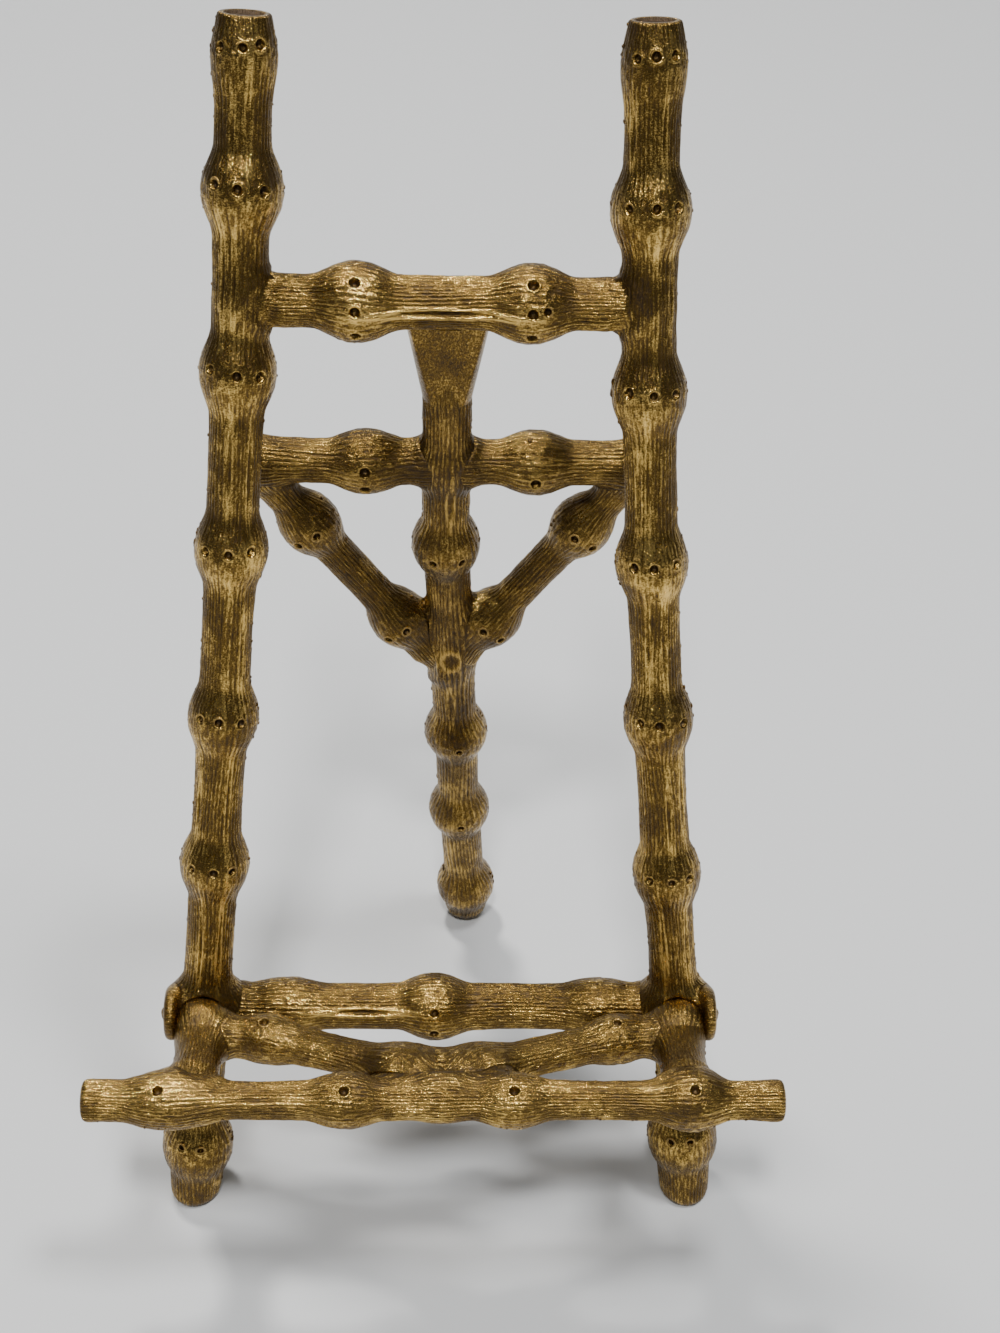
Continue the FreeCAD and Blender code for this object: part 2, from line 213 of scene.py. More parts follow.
@dataclass
class Cane:
    """A length of bamboo cane along a line of points, with a knot at every inner point."""

    name: str
    line: Array
    radius: float
    rises: tuple[float, ...] = ()
    facing: Array = field(default_factory=lambda: FRONT)
    head: End = End.HIDDEN
    tail: End = End.HIDDEN
    head_radius: Optional[float] = None
    tail_radius: Optional[float] = None
    knot_half: float = 6.6
    waist: float = 0.22
    ridge: float = 0.17
    ridges: int = 34
    stub_radius: Optional[float] = None
    sole_round: float = 0.8
    sink_length: float = 4.2
    part_of: Optional[str] = None
    pits: list[Pit] = field(default_factory=list)
    scars: list[Scar] = field(default_factory=list)
    fine_spans: list[tuple[float, float]] = field(default_factory=list)
    guide: Optional[Array] = None
    around: int = 184
    step: float = 0.6
    seed: int = 1

    TABLE_STEP = 0.1
    PLACE_STEP = 0.05
    FINE_STEP = 0.17
    END_SPAN = 1.0
    FEWEST_RINGS = 8
    PIT_REACH = 1.5
    BEND_REACH = 3.5
    BEND_SAMPLES = 15
    KNOT_FLAT, KNOT_FALL = 2.2, 1.9
    WAIST_ROOM = 2.2
    STUB_KNEE = (4.6, 0.6)
    TONE_HEIGHT = 0.32
    DARKEST, LIGHTEST = -1.2, 1.0

    def __post_init__(self) -> None:
        """Works out the stations along the line and the table of radii."""
        self.line = np.array(self.line, float)
        self.path = self.line if self.guide is None else np.array(self.guide, float)
        self.marks = self.stations_of(self.line)
        self.path_marks = self.stations_of(self.path)
        self.table_at = np.arange(0.0, self.marks[-1] + self.TABLE_STEP, self.TABLE_STEP)
        self.table_radius = self.outline(self.table_at)

    @staticmethod
    def stations_of(line: Array) -> Array:
        """How far along the line each of its points lies."""
        return np.concatenate([[0.0], np.cumsum(np.linalg.norm(np.diff(line, axis=0), axis=1))])

    @property
    def knots(self) -> Array:
        """The knots' places along the cane."""
        return self.marks[1:-1][: len(self.rises)]

    def knot_shape(self, along: Array, at: float) -> Array:
        """One knot's outline at each place: 1 at its middle, 0 off it."""
        share = np.clip(np.abs(along - at) / self.knot_half, 0.0, 1.0)
        return (1.0 - share ** self.KNOT_FLAT) ** self.KNOT_FALL

    def swelling(self, along: Array) -> Array:
        """How much of a knot there is at each place, whichever knot it belongs to."""
        whole = np.zeros_like(along, float)
        for at in self.knots:
            whole = np.maximum(whole, self.knot_shape(along, at))
        return whole

    def outline(self, along: Array) -> Array:
        """The cane's plain radius at each place along it.

        Args:
            along: Places in mm.

        Returns:
            Radii in mm, with tapers, waists and knots.
        """
        stops = [0.0, *self.knots, self.marks[-1]]
        ends = [self.head_radius or self.radius, self.tail_radius or self.radius]
        plain = np.interp(along, stops, [ends[0], *[self.radius] * len(self.knots), ends[1]])
        if self.stub_radius:
            knee = [0.0, self.knots[0] - self.STUB_KNEE[0], self.knots[0] - self.STUB_KNEE[1]]
            stub = np.interp(along, knee, [ends[0], self.stub_radius, self.radius])
            plain = np.where(along < knee[-1], stub, plain)
        for low, high in zip(stops[:-1], stops[1:]):
            share = np.clip((along - low) / (high - low), 0.0, 1.0)
            if high - low > self.WAIST_ROOM * self.knot_half:
                plain = plain - self.waist * np.sin(math.pi * share) ** 2
        for at, rise in zip(self.knots, self.rises):
            plain = plain + rise * self.knot_shape(along, at)
        return plain

    def distance(self, points: Array) -> Array:
        """How far points lie outside the cane, in mm; negative inside."""
        best = np.full(points.shape[:-1], np.inf)
        for i in range(len(self.line) - 1):
            start, step = self.line[i], self.line[i + 1] - self.line[i]
            length = self.marks[i + 1] - self.marks[i]
            share = np.clip((points - start) @ step / length ** 2, 0.0, 1.0)
            gap = np.linalg.norm(points - start - share[..., None] * step, axis=-1)
            radius = np.interp(self.marks[i] + share * length, self.table_at, self.table_radius)
            best = np.minimum(best, gap - radius)
        return best

    def ring_places(self) -> Array:
        """Where the rings stand along the path: closer at pits and fine spans."""
        end = self.path_marks[-1]
        fine = np.arange(0.0, end + self.PLACE_STEP, self.PLACE_STEP)
        gap = np.full(fine.shape, self.step)
        spans = [(pit.at - self.PIT_REACH, pit.at + self.PIT_REACH) for pit in self.pits]
        for low, high in spans + self.fine_spans:
            gap[(fine > low) & (fine < high)] = self.FINE_STEP
        for low, high in ((0.0, self.END_SPAN), (end - self.END_SPAN, end)):
            gap[(fine >= low) & (fine <= high)] = self.FINE_STEP
        count = np.concatenate([[0.0], np.cumsum(self.PLACE_STEP / gap[:-1])])
        rings = max(int(round(count[-1])), self.FEWEST_RINGS)
        return np.interp(np.linspace(0.0, count[-1], rings + 1), count, fine)

    def directions(self, places: Array) -> Array:
        """The path's direction at each place, eased through its bends."""
        legs = unit(np.diff(self.path, axis=0))
        total = np.zeros((len(places), 3))
        for shift in np.linspace(-self.BEND_REACH, self.BEND_REACH, self.BEND_SAMPLES):
            leg = np.searchsorted(self.path_marks, places + shift, side="right") - 1
            total += legs[np.clip(leg, 0, len(legs) - 1)]
        return unit(total)

    def relief(self, turn: Array, along: Array, radius: Array) -> tuple[Array, Array]:
        """The skin's height over the plain cane.

        Args:
            turn: Place round the cane, 0 to 1.
            along: Place along the cane in mm.
            radius: The skin's radius there in mm.

        Returns:
            The height in mm, and how rubbed (up to 1) or stained (down to -1.2) the place is; on scar
            lips part of the lightening is a painted highlight.
        """
        rng = np.random.default_rng(self.seed)
        length = self.path_marks[-1]
        sway = Streaks(rng, 6, 14.0, length).at(turn, along)
        strength = Streaks(rng, self.ridges, 5.5, length).at(turn, along)
        broken = Streaks(rng, self.ridges, 1.1, length).at(turn, along)
        lumps = Streaks(rng, 8, 5.5, length).at(turn, along)
        pebbles = Streaks(rng, 46, 0.7, length).at(turn, along)
        knot = self.swelling(along)
        tone = np.zeros(along.shape)
        crest = np.abs(np.cos(math.pi * self.ridges * turn + 2.3 * sway + 0.5 * strength)) ** 0.75
        lines = (1.7 * crest - 1.1) * (0.72 + 0.35 * strength) + 0.3 * broken
        height = self.ridge * (1.0 - 0.5 * knot) * lines + 0.08 * lumps
        height = height + pebbles * (0.02 + 0.055 * knot)
        for scar in self.scars:
            across = self.apart(turn, scar.round) * radius
            oval = np.hypot((along - scar.at) / scar.half_length, across / scar.half_width)
            inside = np.clip(1.0 - oval ** 2, 0.0, 1.0)
            height = height * (1.0 - 0.7 * inside) - scar.depth * inside
            lip = np.exp(-(((oval - 1.1) * scar.half_width / 0.3) ** 2))
            height = height + scar.lip * lip
            # Scar lips are lightened 0.35 more: partly the rubbing of a raised place, partly a painted
            # highlight along the lip.
            tone = tone + 0.35 * lip - 0.3 * inside + scar.depth * inside / self.TONE_HEIGHT
        for pit in self.pits:
            gap = np.hypot(self.apart(turn, pit.round) * radius, along - pit.at) / pit.size
            hole = np.exp(-((gap / 0.60) ** 4))
            height = height * (1.0 - 0.85 * np.exp(-((gap / 1.15) ** 4))) - 0.8 * pit.size * hole
            height = height + 0.12 * np.exp(-(((gap - 0.86) / 0.2) ** 2))
            tone = tone + (0.8 * pit.size / self.TONE_HEIGHT - 0.8) * hole
        return height, np.clip(tone + height / self.TONE_HEIGHT, self.DARKEST, self.LIGHTEST)

    @staticmethod
    def apart(turn: Array, degrees: float) -> Array:
        """The angle from a bearing to each place round the cane, in radians."""
        return (((turn - degrees / 360.0) + 0.5) % 1.0 - 0.5) * 2.0 * math.pi


class Lobe(Cane):
    """A short rounded disc, such as the ear that holds a hinge pin."""

    half_width: float = 1.1
    rounding: float = 1.0

    def distance(self, points: Array) -> Array:
        """How far points lie outside the disc, in mm; negative inside."""
        middle, axis = self.line.mean(0), unit(self.line[1] - self.line[0])
        along = np.abs((points - middle) @ axis) - self.half_width + self.rounding
        gap = points - middle
        off_axis = gap - (gap @ axis)[..., None] * axis
        away = np.linalg.norm(off_axis, axis=-1) - self.radius + self.rounding
        outer = np.hypot(np.maximum(along, 0.0), np.maximum(away, 0.0))
        return outer + np.minimum(np.maximum(along, away), 0.0) - self.rounding


@dataclass
class Skin:
    """A finished cane's mesh data, in drawing mm."""

    points: Array
    faces: list[Array]
    local: Array
    relief: Array
    knot: Array
    seam: Array

    def with_shell(self, other: "Skin") -> "Skin":
        """This skin and another closed one as one mesh."""
        shift = len(self.points)
        faces = [np.concatenate([a, b + shift]) if a.shape[1] == b.shape[1] else a
                 for a, b in zip(self.faces, other.faces)]
        points = np.concatenate([self.points, other.points])
        layers = [np.concatenate([getattr(self, key), getattr(other, key)])
                  for key in ("local", "relief", "knot", "seam")]
        return Skin(points, faces, *layers)


# ---------------------------------------------------------------- castings
@dataclass
class Casting:
    """Canes cast in one piece: a shared blended surface, finishes and pieces."""

    draft: Draft
    body: str = "frame"
    slot: str = "antique_gilt_frame"
    fillet: float = 3.0
    reach: float = 3.2
    canes: list[Cane] = field(default_factory=list)
    rims: list[tuple[Array, Array, float]] = field(default_factory=list)
    flash: list[tuple[Array, Array, float]] = field(default_factory=list)

    SOLVE_STEPS = 14
    SOLVE_PACE = 0.85
    NEAR = 13.0
    LEAST_SHARE = 0.4
    DIP, DIP_SHARE = 1.1, 0.9
    SEAM_WIDTH = 1.3
    CARVED_NEAR, CARVED_SEAM = 0.02, 0.8
    LEAST_RADIUS = 0.2
    SINK = 1.5
    EDGE_SHARE = 0.75
    SHEAR_REACH = 9.0
    DOME_STEPS, DOME_TILT = 22, 88.0
    FLASH_SPACING = 2.6

    def carve(self, points: Array) -> Optional[Array]:
        """How far points lie outside the room kept for moving pieces, or None where none is."""
        return None

    def blended(self, canes: Sequence[Cane], points: Array) -> Array:
        """The casting's surface: canes joined with fillets, as a distance in mm."""
        whole = canes[0].distance(points)
        for cane in canes[1:]:
            other = cane.distance(points)
            near = np.clip(self.fillet - np.abs(whole - other), 0.0, None) / self.fillet
            whole = np.minimum(whole, other) - near * near * self.fillet / 4.0
        return whole

    def settle(self, cane: Cane, centres: Array, rays: Array, radius: Array) -> tuple[Array, Array]:
        """Pushes ring points out to the blended surface, and under a cane that covers them.

        Args:
            cane: The cane that the rings belong to.
            centres: Ring centres, one row a ring.
            rays: Unit rays, rings by points by 3.
            radius: First guess of the radius, rings by points.

        Returns:
            The radii, and how near each point is to a seam, 0 to 1.
        """
        seam = np.zeros(radius.shape)
        others = [o for o in self.canes if o is not cane]
        rings = np.zeros(len(centres), bool)
        close = []
        for other in others:
            gap = other.distance(centres)
            if (gap < self.NEAR).any():
                close.append(other)
                rings |= gap < self.NEAR
        if close:
            together = [o for o in self.canes if o is cane or o in close]
            c, d, own = centres[rings][:, None, :], rays[rings], radius[rings]
            r = own.copy()
            for _ in range(self.SOLVE_STEPS):
                gap = self.blended(together, c + d * r[..., None])
                r = np.clip(r - self.SOLVE_PACE * gap, self.LEAST_SHARE * own, own + self.reach)
            p = c + d * r[..., None]
            lead = cane.distance(p) - np.min([o.distance(p) for o in close], axis=0)
            r = r - np.clip(self.DIP_SHARE * lead, 0.0, self.DIP)
            radius[rings] = r
            seam[rings] = np.exp(-np.abs(lead) / self.SEAM_WIDTH)
        if self.carve(centres[:1]) is not None:
            for _ in range(self.SOLVE_STEPS):
                gap = self.carve(centres[:, None, :] + rays * radius[..., None])
                seam = np.maximum(seam, np.where(gap < self.CARVED_NEAR, self.CARVED_SEAM, 0.0))
                radius = radius + np.minimum(gap, 0.0)
        return np.maximum(radius, self.LEAST_RADIUS), seam

    def rings(self, cane: Cane) -> tuple[Array, Array, Array, Array, Array]:
        """Centres, rays, places, directions and shear of a cane's rings, domes included."""
        places = cane.ring_places()
        lead = np.column_stack([np.interp(places, cane.path_marks, cane.path[:, i]) for i in range(3)])
        along = cane.directions(places)
        front = unit(cane.facing - (along @ cane.facing)[:, None] * along)
        side = np.cross(along, front)
        turn = np.arange(cane.around) / cane.around * 2.0 * math.pi
        rays = np.cos(turn)[None, :, None] * front[:, None] + np.sin(turn)[None, :, None] * side[:, None]
        if cane.head is End.DOME:
            lead, along, rays, places = self.dome(lead, along, rays, places, cane.radius, True)
        if cane.tail is End.DOME:
            lead, along, rays, places = self.dome(lead, along, rays, places, cane.radius, False)
        return lead, rays, places, along, turn / (2.0 * math.pi)

    def dome(self, lead: Array, along: Array, rays: Array, places: Array, radius: float,
             at_head: bool) -> tuple[Array, Array, Array, Array]:
        """Adds the rings of a rounded end.

        Args:
            lead: Ring centres.
            along: Ring directions.
            rays: Ring rays.
            places: Ring places along the cane.
            radius: The cane's radius in mm.
            at_head: True for the start of the line, False for its end.

        Returns:
            The four arrays with the dome's rings added.
        """
        steps = self.DOME_STEPS
        tilt = np.linspace(0.0, math.radians(self.DOME_TILT), steps + 1)[1:]
        i, way = (0, -1.0) if at_head else (-1, 1.0)
        ball = np.cos(tilt)[:, None, None] * rays[i] + way * np.sin(tilt)[:, None, None] * along[i]
        extra = [np.repeat(lead[i][None], steps, 0), np.repeat(along[i][None], steps, 0), ball,
                 places[i] + way * radius * tilt]
        pairs = zip(extra, (lead, along, rays, places))
        return tuple(np.concatenate([e[::-1], o] if at_head else [o, e]) for e, o in pairs)

    def skin(self, cane: Cane) -> Skin:
        """Builds one cane's closed skin.

        Args:
            cane: The cane, one of this casting's.

        Returns:
            Its mesh data in drawing mm.
        """
        lead, rays, places, along, turn = self.rings(cane)
        inside = np.clip(places, 0.0, cane.path_marks[-1])
        share = inside / cane.path_marks[-1]
        plain = np.interp(share * cane.marks[-1], cane.table_at, cane.table_radius)
        radius = np.repeat(plain[:, None], cane.around, 1)
        radius, seam = self.settle(cane, lead, rays, radius)
        turns = np.repeat(turn[None, :], len(places), 0)
        stations = np.repeat(places[:, None], cane.around, 1)
        height, tone = cane.relief(turns, stations, radius)
        height = height * (1.0 - 0.85 * np.clip(seam, 0.0, 1.0) ** 2)
        radius = radius + height
        radius = radius - (self.edge_round(cane, places) + self.sunk(cane, places))[:, None]
        points = lead[:, None, :] + rays * radius[..., None]
        points = self.shear(cane, points, lead, along, places)
        local = np.stack([np.cos(turns * 2 * math.pi) * cane.radius,
                          np.sin(turns * 2 * math.pi) * cane.radius, stations], -1)
        knot = np.repeat(cane.swelling(places)[:, None], cane.around, 1)
        self.note_pits(cane, points, lead, places)
        self.note_flash(cane, points, lead, places, seam)
        return self.close(cane, points, along, local, tone, knot, seam)

    def edge_round(self, cane: Cane, places: Array) -> Array:
        """How much the skin draws in at a cut end, in mm."""
        drawn = np.zeros(places.shape)
        end = cane.path_marks[-1]
        for kind, gap in ((cane.head, places), (cane.tail, end - places)):
            size = {End.CUT: 1.1, End.SUNK: 0.35, End.SOLE: cane.sole_round}.get(kind)
            if size:
                share = np.clip(1.0 - gap / size, 0.0, 1.0)
                drawn = drawn + size * self.EDGE_SHARE * (1.0 - np.sqrt(1.0 - share ** 2))
        return drawn

    def sunk(self, cane: Cane, places: Array) -> Array:
        """How much the skin sinks towards a hidden end, in mm."""
        end = cane.path_marks[-1]
        depth = np.zeros(places.shape)
        for kind, gap in ((cane.head, places), (cane.tail, end - places)):
            if kind is End.HIDDEN:
                depth = depth + self.SINK * np.clip(1.0 - gap / cane.sink_length, 0.0, 1.0)
        return depth

    def shear(self, cane: Cane, points: Array, lead: Array, along: Array, places: Array) -> Array:
        """Slides the rings near a sole so that the last one lies in the floor's plane."""
        end = cane.path_marks[-1]
        for kind, gap, i in ((cane.head, places, 0), (cane.tail, end - places, -1)):
            if kind is End.SOLE:
                climb = self.draft.height(lead[i] + along[i]) - self.draft.height(lead[i])
                slide = -self.draft.height(points[i]) / climb
                fade = np.clip(1.0 - gap / self.SHEAR_REACH, 0.0, 1.0)
                points = points + fade[:, None, None] * slide[None, :, None] * along[i]
        return points

    def note_pits(self, cane: Cane, points: Array, lead: Array, places: Array) -> None:
        """Keeps where each pit's rim goes, and which way it faces."""
        for pit in cane.pits:
            ring = int(np.argmin(np.abs(places - pit.at)))
            spot = int(round((pit.round % 360.0) / 360.0 * cane.around)) % cane.around
            outward = unit(points[ring, spot] - lead[ring])
            mean = np.linalg.norm(points[ring] - lead[ring], axis=-1)
            lift = np.median(mean[(np.arange(-6, 7) + spot) % cane.around])
            self.rims.append((lead[ring] + outward * (lift + 0.02), outward, pit.size))

    def note_flash(self, cane: Cane, points: Array, lead: Array, places: Array, seam: Array) -> None:
        """Keeps places on the casting's parting line, on the canes' two sides."""
        rng = np.random.default_rng(cane.seed + 500)
        for bearing in (0.25, 0.75):
            for _ in range(int(cane.path_marks[-1] / self.FLASH_SPACING)):
                ring = int(rng.integers(4, len(places) - 4))
                spot = int(round((bearing + rng.normal(0.0, 0.012)) * cane.around)) % cane.around
                if seam[ring, spot] < 0.25:
                    outward = unit(points[ring, spot] - lead[ring])
                    self.flash.append((points[ring, spot], outward, float(rng.uniform(0.5, 1.0))))

    def close(self, cane: Cane, points: Array, along: Array, local: Array, tone: Array,
              knot: Array, seam: Array) -> Skin:
        """Closes both ends of the grid with rings that shrink to a middle point."""
        around = points.shape[1]
        layers = {"points": [points], "local": [local], "tone": [tone], "knot": [knot], "seam": [seam]}
        for kind, i, way in ((cane.head, 0, -1.0), (cane.tail, -1, 1.0)):
            middle = points[i].mean(0)
            caps = {End.SUNK: ((0.88, 0.0), (0.80, -0.12), (0.74, -0.5), (0.4, -0.62), (0.0, -0.6)),
                    End.CUT: ((0.8, 0.0), (0.4, 0.0), (0.0, 0.0)),
                    End.DOME: ((0.0, 0.0),)}.get(kind, ((0.7, 0.0), (0.35, 0.0), (0.0, 0.0)))
            rows = [middle + (points[i] - middle) * share + way * rise * along[i]
                    for share, rise in caps]
            marks = [local[i] * np.array([share, share, 1.0]) for share, _ in caps]
            dull = -1.0 if kind is End.SUNK else (0.1 if kind is End.CUT else -0.5)
            tones = [np.full(around, dull if share < 0.85 else 0.6) for share, _ in caps]
            grids = {"points": rows, "local": marks, "tone": tones,
                     "knot": [knot[i] for _ in caps], "seam": [seam[i] for _ in caps]}
            for key, value in grids.items():
                block = np.stack(value[::-1] if way < 0 else value)
                layers[key] = [block, *layers[key]] if way < 0 else [*layers[key], block]
        grid = {key: np.concatenate(value) for key, value in layers.items()}
        count = len(grid["points"])
        index = np.arange(count * around).reshape(count, around)
        index[0], index[-1] = index[0, 0], index[-1, 0]
        quads = ring_quads(index)
        body = quads[1:-1].reshape(-1, 4)
        first = quads[0][:, [0, 2, 3]]
        last = quads[-1][:, [0, 1, 2]]
        keep = np.ones(count * around, bool)
        keep[1:around] = False
        keep[(count - 1) * around + 1:] = False
        fresh = np.cumsum(keep) - 1
        faces = [fresh[body], fresh[first], fresh[last]]
        flat = {key: value.reshape(count * around, -1)[keep] for key, value in grid.items()}
        return Skin(flat["points"], faces, flat["local"], flat["tone"][:, 0], flat["knot"][:, 0],
                    flat["seam"][:, 0])

    def build(self, finish: "GiltFinish") -> list[bpy.types.Object]:
        """Builds, dresses and hangs on its body every cane of the casting.

        Args:
            finish: The gilt that the canes take.

        Returns:
            The new pieces.
        """
        material = finish.material()
        made = []
        for cane in [c for c in self.canes if c.part_of is None]:
            skin = self.skin(cane)
            for extra in [c for c in self.canes if c.part_of == cane.name]:
                skin = skin.with_shell(self.skin(extra))
            piece = mesh_piece(cane.name + "_cane", held(self.draft.place(skin.points)), skin.faces)
            for name, values in (("cane", skin.local), ("relief", skin.relief), ("knot", skin.knot),
                                 ("seam", skin.seam)):
                put_attribute(piece, name, values)
            hang(piece, self.body, self.slot, material, cane.name)
            made.append(piece)
        return made


def add_object(name: str, data: bpy.types.ID) -> bpy.types.Object:
    """Makes an object from its data and links it to the scene."""
    made = bpy.data.objects.new(name, data)
    bpy.context.scene.collection.objects.link(made)
    return made


def plain_mesh(host: bpy.types.Object) -> bpy.types.Mesh:
    """The host's shape as one plain mesh; the host and its modifiers are removed."""
    graph = bpy.context.evaluated_depsgraph_get()
    mesh = bpy.data.meshes.new_from_object(host.evaluated_get(graph))
    bpy.data.objects.remove(host)
    return mesh


def mesh_piece(name: str, points: Array, faces: Sequence[Array]) -> bpy.types.Object:
    """Makes a smooth mesh object with outward faces.

    Args:
        name: The piece's name.
        points: Vertices in metres, in the row frame.
        faces: Arrays of face corners, one array for each number of corners.

    Returns:
        The object, linked to the scene.
    """
    volume = 0.0
    for block in faces:
        for i in range(1, block.shape[1] - 1):
            a, b, c = points[block[:, 0]], points[block[:, i]], points[block[:, i + 1]]
            volume += float(np.einsum("ij,ij->i", a, np.cross(b, c)).sum())
    blocks = [block[:, ::-1] if volume < 0 else block for block in faces]
    mesh = bpy.data.meshes.new(name)
    corners = np.concatenate([block.ravel() for block in blocks]).astype(np.int32)
    sizes = np.concatenate([np.full(len(block), block.shape[1]) for block in blocks])
    mesh.vertices.add(len(points))
    mesh.vertices.foreach_set("co", np.ascontiguousarray(points, np.float32).ravel())
    mesh.loops.add(len(corners))
    mesh.loops.foreach_set("vertex_index", corners)
    mesh.polygons.add(len(sizes))
    starts = np.concatenate([[0], np.cumsum(sizes)[:-1]])
    mesh.polygons.foreach_set("loop_start", starts.astype(np.int32))
    mesh.polygons.foreach_set("use_smooth", np.ones(len(sizes), bool))
    mesh.update(calc_edges=True)
    mesh.validate()
    return add_object(name, mesh)


def put_attribute(piece: bpy.types.Object, name: str, values: Array) -> None:
    """Stores one number or one vector a vertex on a piece."""
    vector = values.ndim == 2
    kind, slot = ("FLOAT_VECTOR", "vector") if vector else ("FLOAT", "value")
    attribute = piece.data.attributes.new(name, kind, "POINT")
    attribute.data.foreach_set(slot, np.ascontiguousarray(values, np.float32).ravel())


def hang(piece: bpy.types.Object, body: str, slot: str, material: bpy.types.Material,
         *nodes: str) -> None:
    """Dresses a piece, hangs it on its body and hides the CAD nodes that it stands for."""
    piece.data.materials.clear()
    piece.data.materials.append(material)
    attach(piece, body)
    if nodes:
        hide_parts(*nodes)
    log.info("%s: %d faces on body %s", piece.name, len(piece.data.polygons), body)


# ---------------------------------------------------------------- the three castings
def row_of_pits(at: float, bearings: Sequence[float], size: float = 1.0) -> list[Pit]:
    """Pits side by side round a cane at one place along it."""
    return [Pit(at, bearing, size) for bearing in bearings]


@dataclass
class Ledge(Casting):
    """The fold-up ledge: front bar, two arms with knuckles and two braces."""

    body: str = "ledge"
    slot: str = "antique_gilt_ledge"
    pin_height: float = 43.4
    pin_forward: float = 6.6
    drop: float = 2.1
    bar_forward: float = 25.2
    fillet: float = 4.6
    arm_across: tuple[float, float] = (-41.0, 41.0)
    arm_radius: float = 4.0
    bar_radius: float = 3.4
    web_radius: float = 2.9
    bar_ends: tuple[float, float] = (-59.6, 57.2)
    bar_knots: tuple[float, ...] = (-46.7, -16.2, 11.9, 41.8)
    brace_radius: float = 3.3
    web_half: float = 8.0
    web_forward: float = 17.4
    brace_knee: tuple[float, float] = (30.0, 8.6)
    brace_knot: float = 5.5
    brace_gap: float = 3.0
    arm_gap: float = 1.6

    def point(self, across: float, forward: float) -> list[float]:
        """A point of the ledge's plane in the drawing."""
        return [across, -forward, self.pin_height - self.drop]

    def design(self) -> None:
        """Lays out the ledge's canes."""
        self.canes = [self.bar()]
        for i, side in enumerate((-1, 1)):
            name = ("left", "right")[i]
            self.canes.append(self.arm(name, side, self.arm_across[i]))
            self.canes.append(self.brace(name, side, self.arm_across[i]))
        self.canes.append(self.web())

    def bar(self) -> Cane:
        """The front bar, cut off square at both ends."""
        starts, stops = self.bar_ends
        line = [self.point(x, self.bar_forward) for x in (starts, *self.bar_knots, stops)]
        pits = [Pit(x - starts, -6.0, 1.1) for x in self.bar_knots]
        scars = [Scar(x - starts, bearing, 7.0, 0.5, 0.14, 0.06)
                 for x, bearing in ((-31.0, 14.0), (27.0, -20.0))]
        return Cane("front_bar", np.array(line), self.bar_radius, (1.3,) * 4,
                    np.array([0.0, -0.62, 0.78]), End.CUT, End.CUT, 3.5, 3.5, pits=pits, scars=scars,
                    waist=0.3, ridge=0.18, ridges=38, around=208, seed=41)

    def web(self) -> Cane:
        """The short web that joins the two braces' inner knots."""
        line = [self.point(x, self.web_forward) for x in (-self.web_half, self.web_half)]
        return Cane("ledge_web", np.array(line), self.web_radius, (), UP, around=120, step=0.3,
                    part_of="left_ledge_brace", waist=0.0, seed=52)

    def arm(self, name: str, side: int, across: float) -> Cane:
        """One arm, from its domed knuckle to the bar."""
        knuckle = [across, -self.pin_forward, self.pin_height]
        tip = self.point(across, self.bar_forward - self.arm_gap)
        line = [knuckle, self.point(across, self.pin_forward), tip]
        guide = [[across, -self.pin_forward, self.pin_height - self.drop / 2], tip]
        return Cane(f"{name}_arm", np.array(line), self.arm_radius, (), UP, End.DOME, End.HIDDEN,
                    guide=np.array(guide), ridge=0.09, waist=0.0, step=0.3, seed=43 + side)

    def brace(self, name: str, side: int, across: float) -> Cane:
        """One brace, from the knuckle to the middle of the bar."""
        line = [self.point(across, self.pin_forward + 0.8),
                self.point(side * self.brace_knee[0], self.brace_knee[1]),
                self.point(side * self.brace_knot, self.web_forward),
                self.point(0.0, self.bar_forward - self.brace_gap)]
        return Cane(f"{name}_ledge_brace", np.array(line), self.brace_radius, (1.1, 0.9), UP,
                    pits=[Pit(11.4, -12.0 * side, 1.1)], step=0.36, around=136, knot_half=6.0,
                    waist=0.1, seed=47 + side)


